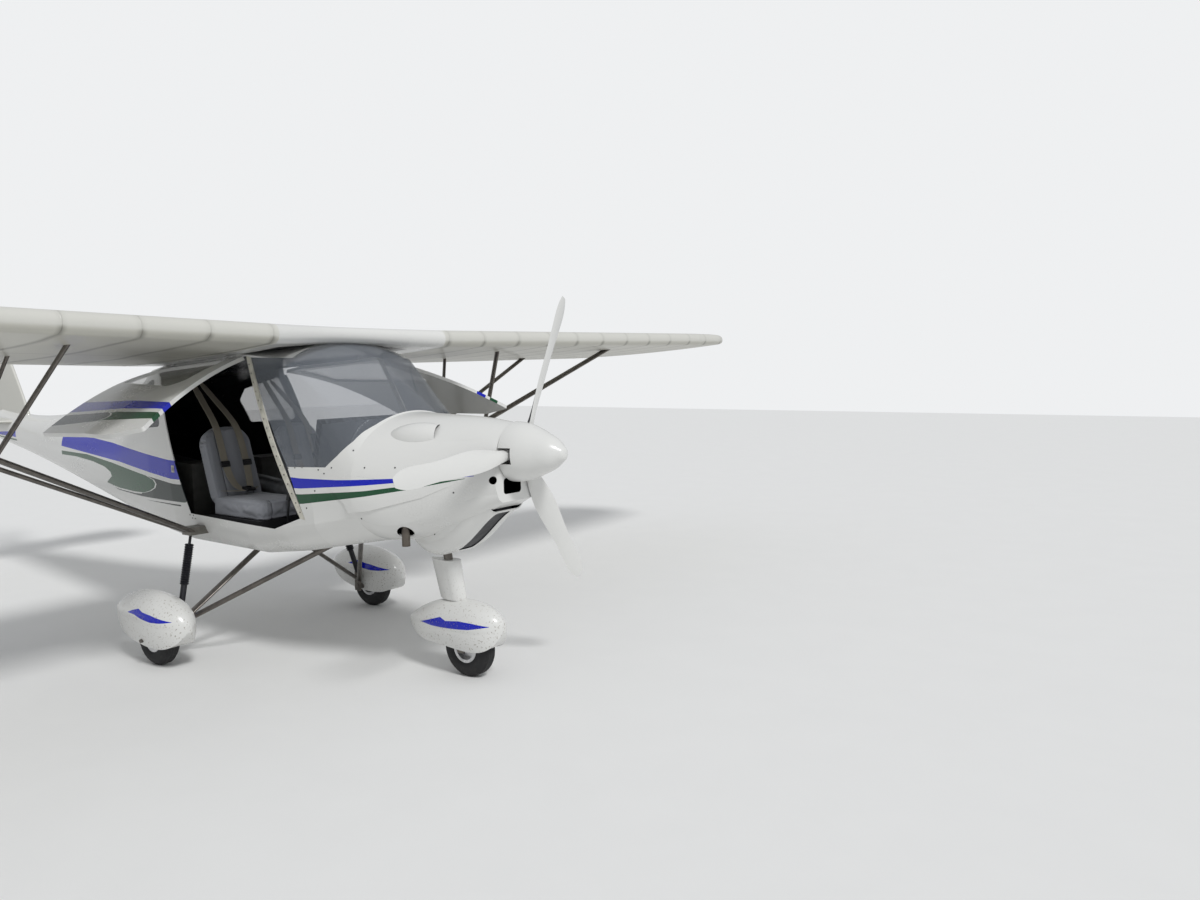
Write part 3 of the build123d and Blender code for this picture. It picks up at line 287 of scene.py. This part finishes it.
# Stripes, as heights at X. The doors carry them as if they were closed.
stripes = {
    **shell,
    "green": (0.002, 0.062, 0.020),
    "darkGreen": (0.002, 0.014, 0.010),
    "bodyStart": -1.167,
    "tailEnd": -2.12,
    "blueEnd": 2.7,
    "greenEnd": 2.66,
    "hook": (-0.406, -0.283),
    "eye": (-0.42, 0.5),
    "doorShade": 0.68,
    "line": (0.20, 0.62),
    "blueTop": [
        (-2.6, 1.165),
        (-1.168, 1.221),
        (-0.253, 1.178),
        (0.522, 1.111),
        (1.748, 1.068),
        (2.0, 1.071),
        (2.7, 1.106),
    ],
    "blueLow": [
        (-2.6, 1.150),
        (-1.168, 1.114),
        (-0.136, 1.062),
        (0.555, 0.996),
        (1.745, 1.014),
        (2.18, 1.051),
        (2.7, 1.103),
    ],
    "greenTop": [
        (-2.6, 1.143),
        (-1.164, 1.081),
        (-0.683, 1.080),
        (-0.251, 1.048),
        (0.164, 1.004),
        (0.576, 0.967),
        (1.742, 0.983),
        (2.18, 1.023),
        (2.66, 1.092),
    ],
    "greenLow": [
        (-2.6, 1.136),
        (-1.181, 1.053),
        (-0.883, 1.054),
        (-0.588, 1.038),
        (-0.388, 1.014),
        (-0.30, 0.985),
        (-0.285, 0.958),
        (-0.284, 0.880),
        (-0.228, 0.870),
        (0.103, 0.858),
        (0.65, 0.860),
        (1.752, 0.933),
        (2.18, 0.995),
        (2.39, 1.032),
        (2.66, 1.090),
    ],
    "hookTop": [(-0.406, 0.907), (-0.34, 0.936), (-0.283, 0.960)],
    "hookLow": [(-0.406, 0.905), (-0.283, 0.880)],
    "eyeLow": [(-0.406, 0.907), (-0.3, 0.893), (-0.191, 0.885), (0.03, 0.880), (0.15, 0.884), (0.40, 0.905)],
    "eyeCap": [
        (0.88, 0.12),
        (0.89, 0.20),
        (0.905, 0.27),
        (0.926, 0.327),
        (0.952, 0.35),
        (0.976, 0.328),
        (0.996, 0.241),
        (1.02, 0.10),
    ],
    "doorLow": [(0.55, 0.858), (0.75, 0.870), (1.25, 0.897)],
    "doorCap": [
        (0.875, 1.06),
        (0.89, 1.15),
        (0.905, 1.20),
        (0.925, 1.235),
        (0.945, 1.235),
        (0.965, 1.20),
        (0.985, 1.12),
    ],
    "outline": 0.010,
    "lineTop": [(0.20, 0.841), (0.62, 0.844)],
    "lineLow": [(0.20, 0.840), (0.62, 0.834)],
}


def between(paint, x, z, low, top):
    return (z > paint.profile(x, low)) * (z < paint.profile(x, top))


def within(x, ends):
    return (x > ends[0]) * (x < ends[1])


def stripePaint(paint, x, z, look, colour):
    present = paint.calc("MAXIMUM", x > look["bodyStart"], x < look["tailEnd"])
    blue = between(paint, x, z, look["blueLow"], look["blueTop"]) * (x < look["blueEnd"])
    hook = between(paint, x, z, look["hookLow"], look["hookTop"]) * within(x, look["hook"])
    band = between(paint, x, z, look["greenLow"], look["greenTop"]) * (x < look["greenEnd"])
    green = paint.calc("MAXIMUM", band, hook)
    edge = look["outline"]
    tip = 1.6 * edge
    eyeLow, eyeCap = paint.profile(x, look["eyeLow"]), paint.profile(z, look["eyeCap"])
    eye = (z > eyeLow) * (x < eyeCap) * (x < look["eye"][1])
    eyeRim = (z > eyeLow - edge) * (x < eyeCap + tip) * within(x, look["eye"])
    doorLow, doorCap = paint.profile(x, look["doorLow"]), paint.profile(z, look["doorCap"])
    shade = (z > doorLow) * (x < doorCap)
    shadeRim = (z > doorLow - edge * (x > look["doorShade"])) * (x < doorCap + tip)
    inner = paint.mix(shadeRim, look["green"], colour)
    inner = paint.mix(shade, inner, look["darkGreen"])
    inner = paint.mix(eyeRim, inner, colour)
    inner = paint.mix(eye, inner, look["green"])
    colour = paint.mix(blue * present, colour, look["blue"])
    line = between(paint, x, z, look["lineLow"], look["lineTop"]) * within(x, look["line"])
    return paint.mix(line, paint.mix(green * present, colour, inner), look["darkGreen"])


def gelcoat(name, look, closed=None, outward=None, swoosh=None, hollow=None):
    paint = Finish(name)
    x, y, z = paint.axes()
    low = 1 - paint.smooth(z, *look["splashHeight"])
    if closed:
        x, z = paint.dot(*closed[0]), paint.dot(*closed[1])
    dirt = paint.noise(2.2, 4, stretch=(1, 1, 2.5))
    speck = paint.noise(95, 3)
    colour = paint.mix(paint.smooth(dirt, 0.45, 0.85) * 0.5, look["white"], darker(look["white"], 0.92))
    if "blueTop" in look:
        colour = stripePaint(paint, x, z, look, colour)
    if swoosh:
        ahead = x - swoosh["middle"]
        ends = (swoosh["low"][0][0], swoosh["low"][-1][0])
        mark = between(paint, ahead, z, swoosh["low"], swoosh["top"]) * within(ahead, ends)
        side = paint.smooth(paint.magnitude(paint.facing((0, 1, 0))), 0.35, 0.4)
        colour = paint.mix(mark * side, colour, look["blue"])
    splash = paint.smooth(speck, 0.60, 0.66) * low
    colour = paint.mix(splash * 0.65, colour, look["splash"])
    # painted shade: the door's inner face, white like its outside, is painted grey
    if outward:
        colour = paint.mix(paint.facing(outward) < -0.1, colour, look["doorInsideShade"])
    if hollow:  # painted shade inside the cabin: faces that look inwards are painted near black
        across = paint.facing((0, 1, 0)) * y
        inwards = across + paint.facing((0, 0, 1)) * (z - look["insideShadeMiddle"])
        insideShadeMask = (inwards < -0.015) * (x < hollow["front"]) * (paint.magnitude(y) < hollow["side"])
        colour = paint.mix(insideShadeMask, colour, look["inside"])
    rough = dirt * 0.12 + speck * 0.05 + splash * 0.3 + 0.17
    return paint.surface(colour=colour, rough=rough, coat=0.2, coatRough=0.08, specular=0.4)


doorHinge = {"angle": 65, "rear": (0.405, 0.462, 1.658), "run": (0.885, 0.017, 0.061)}


# How the open door turns to its closed place, as rows for X and Z, and the way its skin faces
def closedDoor(side, hinge):
    foot = Vector(hinge["rear"]) * Vector((1, side, 1))
    run = Vector(hinge["run"]) * Vector((1, side, 1))
    turn = Matrix.Rotation(math.radians(-side * hinge["angle"]), 3, run)
    rows = []
    for index in (0, 2):
        row = turn[index]
        rows.append((tuple(row), foot[index] - row.dot(foot)))
    return rows, tuple(turn.inverted() @ Vector((0, side, 0)))


mainSwoosh = {
    "middle": 0.841,
    "top": [(-0.130, 0.301), (-0.08, 0.318), (-0.015, 0.334), (0.03, 0.320), (0.10, 0.313), (0.242, 0.286)],
    "low": [(-0.130, 0.299), (-0.05, 0.297), (0.02, 0.283), (0.105, 0.274), (0.18, 0.276), (0.242, 0.284)],
}
noseSwoosh = {
    "middle": 2.45,
    "top": [
        (-0.291, 0.268),
        (-0.20, 0.295),
        (-0.125, 0.319),
        (-0.08, 0.305),
        (0.013, 0.317),
        (0.10, 0.315),
        (0.193, 0.304),
    ],
    "low": [(-0.291, 0.266), (-0.189, 0.262), (-0.10, 0.266), (-0.027, 0.271), (0.08, 0.280), (0.193, 0.302)],
}
# how far the painted shade on the inner faces reaches, for the body and for the roof
shadedInsideBody = {"front": 3.2, "side": 1.0}
shadedInsideRoof = {"front": 1.56, "side": 0.47}
striped = gelcoat("stripedShell", stripes, hollow=shadedInsideBody)
dress(striped, "cowl_upper", "cowl_lower", "cabin_tub", "rear_fuselage")
dress(gelcoat("roofShell", shell, hollow=shadedInsideRoof), "cabin_roof")
dress(gelcoat("plainShell", shell), "nose_leg_fairing", "spinner")
dress(gelcoat("mainSpatShell", shell, swoosh=mainSwoosh), "main_spat_right", "main_spat_left")
dress(gelcoat("noseSpatShell", shell, swoosh=noseSwoosh), "nose_spat")
for side, name in ((-1, "door_right"), (1, "door_left")):
    rows, outward = closedDoor(side, doorHinge)
    dress(gelcoat("stripedDoor_" + name, stripes, closed=rows, outward=outward), name)


bladeLook = {"front": (0.70, 0.70, 0.68), "back": (0.035, 0.035, 0.038)}


def bladePaint(name, look):
    paint = Finish(name)
    wear = paint.noise(30, 3)
    back = 1 - paint.smooth(paint.facing((1, 0, 0)), -0.35, -0.25)
    colour = paint.mix(wear * 0.3, look["front"], darker(look["front"], 0.9))
    colour = paint.mix(back, colour, look["back"])
    rough = wear * 0.1 + back * 0.15 + 0.2
    return paint.surface(colour=colour, rough=rough, coat=0.2, specular=0.4)


dress(bladePaint("bladePaint", bladeLook), "propeller_blades")
print("gelcoat and blades done")

# Wing and tail covering
cloth = {
    "colour": (0.62, 0.615, 0.57),
    # the next two colours are painted shade: one for the underside, one for the shadows along the ribs, spar tube and
    # tape
    "under": (0.52, 0.51, 0.45),
    "paintedShadow": (0.16, 0.155, 0.13),
    "rib": 0.34,
    "tube": 1.05,
    "tape": 0.72,
}


def wingCloth(name, look):
    paint = Finish(name)
    x, y, z = paint.axes()
    bow = paint.noise(2.5, 1) * 0.08
    off = paint.magnitude(paint.calc("FRACT", (paint.magnitude(y) + bow) / look["rib"]) - 0.5)
    below = paint.smooth(paint.facing((0, 0, -1)), 0.1, 0.5)
    ribShadowBand = paint.smooth(off, 0.40, 0.5)
    rib = paint.smooth(off, 0.485, 0.498)
    tube = paint.line(x - look["tube"], 0.004, 0.012)
    tape = paint.line(x - look["tape"], 0.003, 0.008)
    weave = paint.noise(900, 1)
    blot = paint.noise(1.6, 3)
    # Painted shade: faces that look down take the darker underside colour, and dark bands and lines along the ribs,
    # the spar tube and the tape stand in for their shadows in the fabric, strongest on the underside
    colour = paint.mix(below, look["colour"], look["under"])
    colour = paint.mix(blot * 0.35, colour, darker(look["colour"], 0.85))
    colour = paint.mix(ribShadowBand * (below * 0.45 + 0.10), colour, look["paintedShadow"])
    colour = paint.mix(rib * (below * 0.35 + 0.12), colour, look["paintedShadow"])
    colour = paint.mix((tube + tape) * below * 0.35, colour, look["paintedShadow"])
    height = rib * 0.5 + weave * 0.02 + paint.smooth(off, 0.0, 0.5) * 0.8
    return paint.surface(colour=colour, rough=0.42, coat=0.1, normal=paint.bump(height, 0.5, 0.006))


covering = wingCloth("wingCovering", cloth)
for name in ("wing", "flap", "aileron", "tailplane"):
    dress(covering, name + "_right", name + "_left")
dress(wingCloth("tailCovering", {**cloth, "rib": 0.9}), "fin", "rudder", "elevator")


# Metal and painted metal: name, colour, roughness, metal and the pieces
alloyTubes = ("wing_struts_right", "wing_struts_left", "main_leg_right", "main_leg_left", "nose_fork")
plainFinishes = [
    ("weatheredAlloy", (0.17, 0.155, 0.14), 0.38, 0.85, alloyTubes),
    ("satinAlloy", (0.45, 0.46, 0.47), 0.35, 0.9, ("main_tube", "firewall", "rudder_pedals")),
    ("brightRim", (0.62, 0.62, 0.63), 0.3, 0.9, ("rim_right", "rim_left", "rim_nose")),
    ("darkCasting", (0.05, 0.05, 0.055), 0.5, 0.6, ("engine_block", "radiator", "propeller_hub")),
    ("darkCastingSocket", (0.06, 0.06, 0.06), 0.5, 0.4, ("nose_leg_socket",)),
    ("stainedSteel", (0.16, 0.14, 0.12), 0.45, 0.9, ("exhaust",)),
    ("creamStrip", (0.62, 0.60, 0.52), 0.4, 0.0, ("door_posts",)),
    ("blackShock", (0.008, 0.008, 0.012), 0.45, 0.0, ("shock_strut_right", "shock_strut_left")),
    ("blackPanel", (0.012, 0.012, 0.014), 0.6, 0.0, ("instrument_panel", "seat_pans", "control_stick")),
    ("leverPaint", (0.03, 0.03, 0.032), 0.4, 0.0, ("throttle_levers",)),
    ("platedFitting", (0.22, 0.21, 0.19), 0.4, 0.85, ("strut_fittings",)),
    # painted shade: the fuel tanks, white translucent plastic, are painted near black for the shade inside the cabin
    ("tankPlastic", (0.06, 0.06, 0.055), 0.5, 0.0, ("fuel_tanks",)),
]


def metalPaint(name, colour, rough, metal=0.0):
    paint = Finish(name)
    blot = paint.noise(25, 4)
    tint = paint.mix(paint.smooth(blot, 0.35, 0.75), colour, darker(colour, 0.72))
    pits = paint.bump(paint.noise(180, 3), 0.12, 0.0008)
    return paint.surface(colour=tint, rough=blot * 0.25 + (rough - 0.12), metal=metal, normal=pits)


for name, colour, rough, metal, pieces in plainFinishes:
    dress(metalPaint(name, colour, rough, metal), *pieces)

tyreLook = {
    "rubber": (0.012, 0.012, 0.013),
    "dust": (0.05, 0.045, 0.04),
    "grooves": 62,
    "tread": 0.034,
    "middles": {"right": -0.788, "left": 0.788, "nose": 0.0},
}


def rubber(name, look, middle):
    paint = Finish(name)
    x, y, z = paint.axes()
    far = paint.magnitude(y - middle)
    dust = paint.noise(35, 4)
    groove = paint.magnitude(paint.calc("FRACT", far * look["grooves"] + 0.5) - 0.5)
    tread = paint.smooth(groove, 0.12, 0.22) * (far < look["tread"])
    colour = paint.mix(paint.smooth(dust, 0.5, 0.8) * 0.5, look["rubber"], look["dust"])
    height = tread + dust * 0.1
    return paint.surface(colour=colour, rough=0.75, normal=paint.bump(height, 0.7, 0.003))


for name, middle in tyreLook["middles"].items():
    dress(rubber("tyreRubber_" + name, tyreLook, middle), "tyre_" + name)


def clearPane(name, tint, alpha):
    paint = Finish(name)
    haze = paint.noise(1.5, 3)
    fine = paint.noise(90, 2)
    clouded = paint.smooth(haze, 0.4, 0.8) * 0.10 + alpha
    return paint.surface(colour=tint, rough=fine * 0.05 + 0.03, alpha=clouded, specular=0.6)


dress(clearPane("windscreenPane", (0.20, 0.22, 0.25), 0.42), "windscreen")
dress(clearPane("rearPane", (0.30, 0.31, 0.32), 0.40), "rear_windows")
dress(clearPane("doorPane", (0.50, 0.50, 0.46), 0.35), "door_window_right", "door_window_left")
print("finishes done")


def sewnCloth(name, look):
    paint = Finish(name)
    x, y, z = paint.axes()
    away = paint.magnitude(paint.magnitude(y) - look["middle"])
    seam = paint.line(away - look["seam"], 0.002, 0.006)
    weave = paint.noise(420, 2)
    blot = paint.noise(6, 3)
    tint = paint.mix(blot * 0.5, look["colour"], darker(look["colour"], 0.78))
    tint = paint.mix(paint.smooth(away, look["seam"], look["seam"] + 0.02) * 0.35, tint, look["side"])
    tint = paint.mix(seam * 0.7, tint, look["thread"])
    return paint.surface(colour=tint, rough=0.85, sheen=0.15, normal=paint.bump(weave, 0.35, 0.001))


seatLook = {
    "middle": 0.258,
    "seam": 0.088,
    "colour": (0.30, 0.31, 0.34),
    "side": (0.19, 0.20, 0.22),
    "thread": (0.07, 0.07, 0.08),
    "shrink": 0.006,
    "voxel": 0.006,
    "pressure": 4,
    "frames": 20,
    "cap": 0.010,
    "channel": 0.005,
    "channelWidth": 0.006,
}


def pickOnly(piece):
    bpy.ops.object.select_all(action="DESELECT")
    piece.select_set(True)
    bpy.context.view_layer.objects.active = piece


def plumpSeat(side, look, finish):
    source = nodes["seat_cushion_" + side]
    pad = bpy.data.objects.new("seatPad_" + side, source.data.copy())
    bpy.context.collection.objects.link(pad)
    pickOnly(pad)
    bpy.ops.object.mode_set(mode="EDIT")
    bpy.ops.mesh.select_all(action="SELECT")
    bpy.ops.mesh.remove_doubles(threshold=0.0002)
    bpy.ops.transform.shrink_fatten(value=-look["shrink"])
    bpy.ops.object.mode_set(mode="OBJECT")
    pad.data.remesh_voxel_size = look["voxel"]
    bpy.ops.object.voxel_remesh()
    before = [vertex.co.copy() for vertex in pad.data.vertices]
    swell = pad.modifiers.new("swell", "CLOTH")
    swell.settings.use_pressure = True
    swell.settings.uniform_pressure_force = look["pressure"]
    swell.settings.effector_weights.gravity = 0
    for number in range(1, look["frames"] + 1):
        bpy.context.scene.frame_set(number)
    bpy.ops.object.modifier_apply(modifier="swell")
    bpy.context.scene.frame_set(1)
    after = [(vertex.co.copy(), vertex.normal.copy()) for vertex in pad.data.vertices]
    placed = []
    for start, (place, normal) in zip(before, after):
        move = place - start
        if move.length > look["cap"]:
            move *= look["cap"] / move.length
        away = abs(abs(start.y) - look["middle"])
        sunk = look["channel"] * math.exp(-(((away - look["seam"]) / look["channelWidth"]) ** 2))
        placed.extend(start + move - normal * sunk)
    pad.data.vertices.foreach_set("co", placed)
    pad.data.update()
    bpy.ops.object.shade_smooth()
    pad.data.materials.clear()
    pad.data.materials.append(finish)
    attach(pad, "airframe")
    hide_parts("seat_cushion_" + side)


seatCloth = sewnCloth("seatCloth", seatLook)
dress(seatCloth, "seat_cushion_right", "seat_cushion_left")
for side in ("right", "left"):
    plumpSeat(side, seatLook, seatCloth)
print("seats done")


# Small parts: what repeats is modelled once, then copied to its places and joined
def startPiece(name):
    piece = bpy.context.object
    piece.name = name
    return piece


def selectFaces(piece, test):
    bpy.ops.object.mode_set(mode="EDIT")
    bpy.ops.mesh.select_mode(type="FACE")
    bpy.ops.mesh.select_all(action="DESELECT")
    bpy.ops.object.mode_set(mode="OBJECT")
    for face in piece.data.polygons:
        face.select = test(face)
    bpy.ops.object.mode_set(mode="EDIT")


def finishPiece(piece, finish):
    pickOnly(piece)
    bpy.ops.object.transform_apply(location=True, rotation=True, scale=True)
    bpy.ops.object.shade_smooth_by_angle(angle=math.radians(35))
    piece.data.materials.clear()
    piece.data.materials.append(finish)
    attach(piece, "airframe")


def copyTo(master, spots, name, finish):
    copies = []
    for spot, facing in spots:
        one = bpy.data.objects.new(name, master.data.copy())
        bpy.context.collection.objects.link(one)
        turn = facing.to_track_quat("Z", "Y").to_matrix().to_4x4()
        one.matrix_world = Matrix.Translation(spot) @ turn
        copies.append(one)
    bpy.ops.object.select_all(action="DESELECT")
    for one in copies:
        one.select_set(True)
    bpy.context.view_layer.objects.active = copies[0]
    bpy.ops.object.join()
    finishPiece(copies[0], finish)


skins = {}


def onSkin(node, x, z, side):
    if node not in skins:
        mesh = nodes[node].data
        corners = [vertex.co.copy() for vertex in mesh.vertices]
        skins[node] = BVHTree.FromPolygons(corners, [tuple(face.vertices) for face in mesh.polygons])
    spot, normal = skins[node].ray_cast(Vector((x, side * 2, z)), Vector((0, -side, 0)))[:2]
    return (spot, normal) if spot else None


# The outermost hit on both sides, where a level line at each place meets the pieces
def bothSides(names, places):
    spots = []
    for side in (-1, 1):
        for x, z in places:
            hits = [hit for hit in (onSkin(name, x, z, side) for name in names) if hit]
            if hits:
                spots.append(max(hits, key=lambda hit: side * hit[0].y))
    return spots


screwLook = {"head": 0.0042, "proud": 0.0016, "socket": 0.0018}


def makeScrew(look):
    bpy.ops.object.select_all(action="DESELECT")
    bpy.ops.mesh.primitive_cylinder_add(vertices=16, radius=look["head"], depth=2 * look["proud"])
    screw = startPiece("screwMaster")
    selectFaces(screw, lambda face: face.normal.z > 0.9)
    bpy.ops.mesh.bevel(offset=look["proud"] * 0.5, segments=2, affect="EDGES")
    bpy.ops.object.mode_set(mode="OBJECT")
    selectFaces(screw, lambda face: face.normal.z > 0.99)
    bpy.ops.mesh.inset(thickness=look["head"] * 0.35)
    bpy.ops.transform.translate(value=(0, 0, -look["socket"] * 0.6))
    bpy.ops.object.mode_set(mode="OBJECT")
    return screw


darkScrew = metalPaint("darkScrew", (0.03, 0.03, 0.032), 0.35, 0.8)
paleRivet = metalPaint("dulledRivet", (0.16, 0.15, 0.13), 0.45, 0.7)
screw = makeScrew(screwLook)
cowlScrews = [
    (1.879, 1.118),
    (1.967, 1.132),
    (2.165, 1.138),
    (2.323, 1.141),
    (2.55, 1.146),
    (2.075, 1.221),
    (2.03, 1.27),
    (1.92, 1.101),
    (1.854, 1.008),
    (1.784, 0.913),
    (2.127, 0.876),
    (2.392, 0.782),
    (2.60, 1.02),
]
copyTo(screw, bothSides(("cowl_upper", "cowl_lower", "cabin_tub"), cowlScrews), "cowlScrews", darkScrew)

postRow = {"top": (1.311, 1.690), "foot": (1.742, 0.862), "count": 17}
postRivets = []
for index in range(postRow["count"]):
    share = (index + 0.5) / postRow["count"]
    postRivets.append([a + (b - a) * share for a, b in zip(postRow["top"], postRow["foot"])])
copyTo(screw, bothSides(("door_posts",), postRivets), "postRivets", paleRivet)

sillRivets = [(1.66 + 0.052 * index, 1.118 + 0.004 * index) for index in range(5)]
sillRivets += [(0.735, 0.79), (0.70, 0.79), (0.75, 0.772), (0.72, 0.772)]
copyTo(screw, bothSides(("cabin_tub", "rear_fuselage"), sillRivets), "sillRivets", paleRivet)

roofRivets = [(1.16 + 0.075 * index, 1.735 + 0.008 * index) for index in range(5)]
copyTo(screw, bothSides(("cabin_roof",), roofRivets), "roofRivets", paleRivet)
bpy.data.objects.remove(screw)
print("screws and rivets done")

latchLook = {"place": (0.586, 1.058), "plate": (0.030, 0.042, 0.004), "rim": 0.009, "keeper": 0.007}


def makeLatch(look):
    bpy.ops.object.select_all(action="DESELECT")
    bpy.ops.mesh.primitive_cube_add(size=1, scale=look["plate"])
    plate = startPiece("latchMaster")
    bpy.ops.object.transform_apply(location=False, rotation=False, scale=True)
    selectFaces(plate, lambda face: face.normal.z > 0.9)
    bpy.ops.mesh.bevel(offset=0.0012, segments=2, affect="EDGES")
    bpy.ops.object.mode_set(mode="OBJECT")
    selectFaces(plate, lambda face: face.normal.z > 0.99)
    bpy.ops.mesh.inset(thickness=look["rim"])
    bpy.ops.mesh.extrude_region_move(TRANSFORM_OT_translate={"value": (0, 0, look["keeper"])})
    bpy.ops.transform.resize(value=(0.6, 0.8, 1))
    bpy.ops.object.mode_set(mode="OBJECT")
    return plate


plateMetal = metalPaint("plateMetal", (0.45, 0.44, 0.42), 0.35, 0.8)
latch = makeLatch(latchLook)
copyTo(latch, bothSides(("rear_fuselage",), [latchLook["place"]]), "doorLatches", plateMetal)
bpy.data.objects.remove(latch)
print("latches done")

harness = {
    "width": 0.045,
    "lapWidth": 0.042,
    "thick": 0.0025,
    "adjuster": {"size": (0.010, 0.058, 0.036), "lean": -0.30, "x": 0.853, "out": 0.0735, "z": 1.085},
    "buckle": {"size": (0.018, 0.060, 0.055), "lean": -1.35, "x": 0.962, "out": 0.0, "z": 0.940},
    "colour": (0.30, 0.27, 0.215),
    "shoulder": [
        (0.47, 0.025, 1.575),
        (0.60, 0.045, 1.455),
        (0.745, 0.064, 1.332),
        (0.788, 0.070, 1.262),
        (0.842, 0.073, 1.098),
        (0.884, 0.062, 0.985),
        (0.925, 0.036, 0.936),
        (0.955, 0.014, 0.930),
    ],
    "lap": [(0.835, 0.150, 0.935), (0.868, 0.125, 0.931), (0.915, 0.075, 0.928), (0.958, 0.016, 0.930)],
}


def webbing(name, colour):
    paint = Finish(name)
    x, y, z = paint.axes()
    weave = paint.magnitude(paint.calc("FRACT", z * 420) - 0.5) + paint.noise(700, 1) * 0.4
    blot = paint.noise(14, 3)
    tint = paint.mix(blot * 0.6, colour, darker(colour, 0.7))
    return paint.surface(colour=tint, rough=0.8, normal=paint.bump(weave, 0.3, 0.0008))


def makeRibbon(name, points, width, thick, across):
    wide = Vector(across).normalized() * width / 2
    bpy.ops.object.select_all(action="DESELECT")
    bpy.ops.mesh.primitive_plane_add(size=1)
    ribbon = startPiece(name)
    for vertex in ribbon.data.vertices:
        vertex.co = Vector(points[0]) + wide * (1 if vertex.co.y > 0 else -1)
    bpy.ops.object.mode_set(mode="EDIT")
    bpy.ops.mesh.select_mode(type="VERT")
    bpy.ops.mesh.select_all(action="SELECT")
    bpy.ops.mesh.remove_doubles(threshold=0.0001)
    for start, end in zip(points, points[1:]):
        step = Vector(end) - Vector(start)
        bpy.ops.mesh.extrude_region_move(TRANSFORM_OT_translate={"value": tuple(step)})
    bpy.ops.object.mode_set(mode="OBJECT")
    smoother = ribbon.modifiers.new("smoother", "SUBSURF")
    smoother.levels = smoother.render_levels = 2
    bpy.ops.object.modifier_apply(modifier="smoother")
    wall = ribbon.modifiers.new("wall", "SOLIDIFY")
    wall.thickness, wall.offset = thick, 0
    bpy.ops.object.modifier_apply(modifier="wall")
    bpy.ops.object.mode_set(mode="EDIT")
    bpy.ops.mesh.select_all(action="SELECT")
    bpy.ops.mesh.normals_make_consistent(inside=False)
    bpy.ops.object.mode_set(mode="OBJECT")
    return ribbon


def makeBuckle(name, look, middle, edge=0):
    size = look["size"]
    bpy.ops.object.select_all(action="DESELECT")
    bpy.ops.mesh.primitive_cube_add(size=1, scale=size)
    buckle = startPiece(name)
    bpy.ops.object.transform_apply(location=False, rotation=False, scale=True)
    bpy.ops.object.mode_set(mode="EDIT")
    bpy.ops.mesh.select_all(action="SELECT")
    bpy.ops.mesh.bevel(offset=min(size) * 0.3, segments=2, affect="EDGES")
    bpy.ops.object.mode_set(mode="OBJECT")
    selectFaces(buckle, lambda face: face.normal.x > 0.99 and face.area > 0.0001)
    bpy.ops.mesh.inset(thickness=min(size[1:]) * 0.22)
    bpy.ops.mesh.extrude_region_move(TRANSFORM_OT_translate={"value": (-size[0] * 0.3, 0, 0)})
    bpy.ops.object.mode_set(mode="OBJECT")
    buckle.rotation_euler = (0, look["lean"], 0)
    buckle.location = (look["x"], middle + edge * look["out"], look["z"])
    return buckle


strapCloth = webbing("strapWebbing", harness["colour"])
buckleMetal = metalPaint("buckleMetal", (0.02, 0.02, 0.022), 0.35, 0.5)
for side, name in ((-1, "right"), (1, "left")):
    middle = side * seatLook["middle"]
    for edge in (-1, 1):
        tag = name + ("Outer" if edge == side else "Inner")
        path = [(x, middle + edge * off, z) for x, off, z in harness["shoulder"]]
        strap = makeRibbon("shoulderStrap_" + tag, path, harness["width"], harness["thick"], (0, 1, 0))
        finishPiece(strap, strapCloth)
        path = [(x, middle + edge * off, z) for x, off, z in harness["lap"]]
        strap = makeRibbon("lapStrap_" + tag, path, harness["lapWidth"], harness["thick"], (0.8, -edge * 0.3, 0))
        finishPiece(strap, strapCloth)
        adjuster = makeBuckle("strapAdjuster_" + tag, harness["adjuster"], middle, edge)
        finishPiece(adjuster, buckleMetal)
    finishPiece(makeBuckle("harnessBuckle_" + name, harness["buckle"], middle), buckleMetal)
print("harness done")

dials = {
    "x": 1.8505,
    "ring": 0.040,
    "deep": 0.008,
    "rim": 0.006,
    "sunk": 0.004,
    "upper": (-0.30, -0.20, -0.10, 0.10, 0.20),
    "upperHeight": 1.29,
    "lower": (-0.30, -0.20, 0.15),
    "lowerHeight": 1.19,
    "black": (0.010, 0.010, 0.012),
    "marks": (0.7, 0.7, 0.66),
}
dialPlaces = [(y, dials["upperHeight"]) for y in dials["upper"]] + [(y, dials["lowerHeight"]) for y in dials["lower"]]


def makeDial(look):
    bpy.ops.object.select_all(action="DESELECT")
    bpy.ops.mesh.primitive_cylinder_add(vertices=32, radius=look["ring"], depth=look["deep"])
    dial = startPiece("dialMaster")
    selectFaces(dial, lambda face: face.normal.z > 0.9)
    bpy.ops.mesh.bevel(offset=0.0015, segments=2, affect="EDGES")
    bpy.ops.object.mode_set(mode="OBJECT")
    selectFaces(dial, lambda face: face.normal.z > 0.99)
    bpy.ops.mesh.inset(thickness=look["rim"])
    bpy.ops.mesh.extrude_region_move(TRANSFORM_OT_translate={"value": (0, 0, -look["sunk"])})
    bpy.ops.object.mode_set(mode="OBJECT")
    return dial


def dialFace(look, places):
    paint = Finish("dialFace")
    x, y, z = paint.axes()
    marks = 0.0
    for across, up in places:
        dy, dz = y - across, z - up
        out = paint.calc("SQRT", dy * dy + dz * dz)
        turn = paint.calc("FRACT", paint.calc("ARCTAN2", dy, dz) * (12 / (2 * math.pi)) + 0.5)
        tick = (paint.magnitude(turn - 0.5) < 0.06) * within(out, (0.023, 0.029))
        needle = (paint.magnitude(dy - dz * 0.4) < 0.0016) * (out < 0.024) * (dz > -0.006)
        marks = tick + needle + marks
    grain = paint.noise(60, 2)
    colour = paint.mix(marks, look["black"], look["marks"])
    return paint.surface(colour=colour, rough=grain * 0.1 + 0.25, coat=0.3)


dial = makeDial(dials)
spots = [(Vector((dials["x"], y, z)), Vector((-1, 0, 0))) for y, z in dialPlaces]
copyTo(dial, spots, "instrumentDials", dialFace(dials, dialPlaces))
bpy.data.objects.remove(dial)
print("dials done")
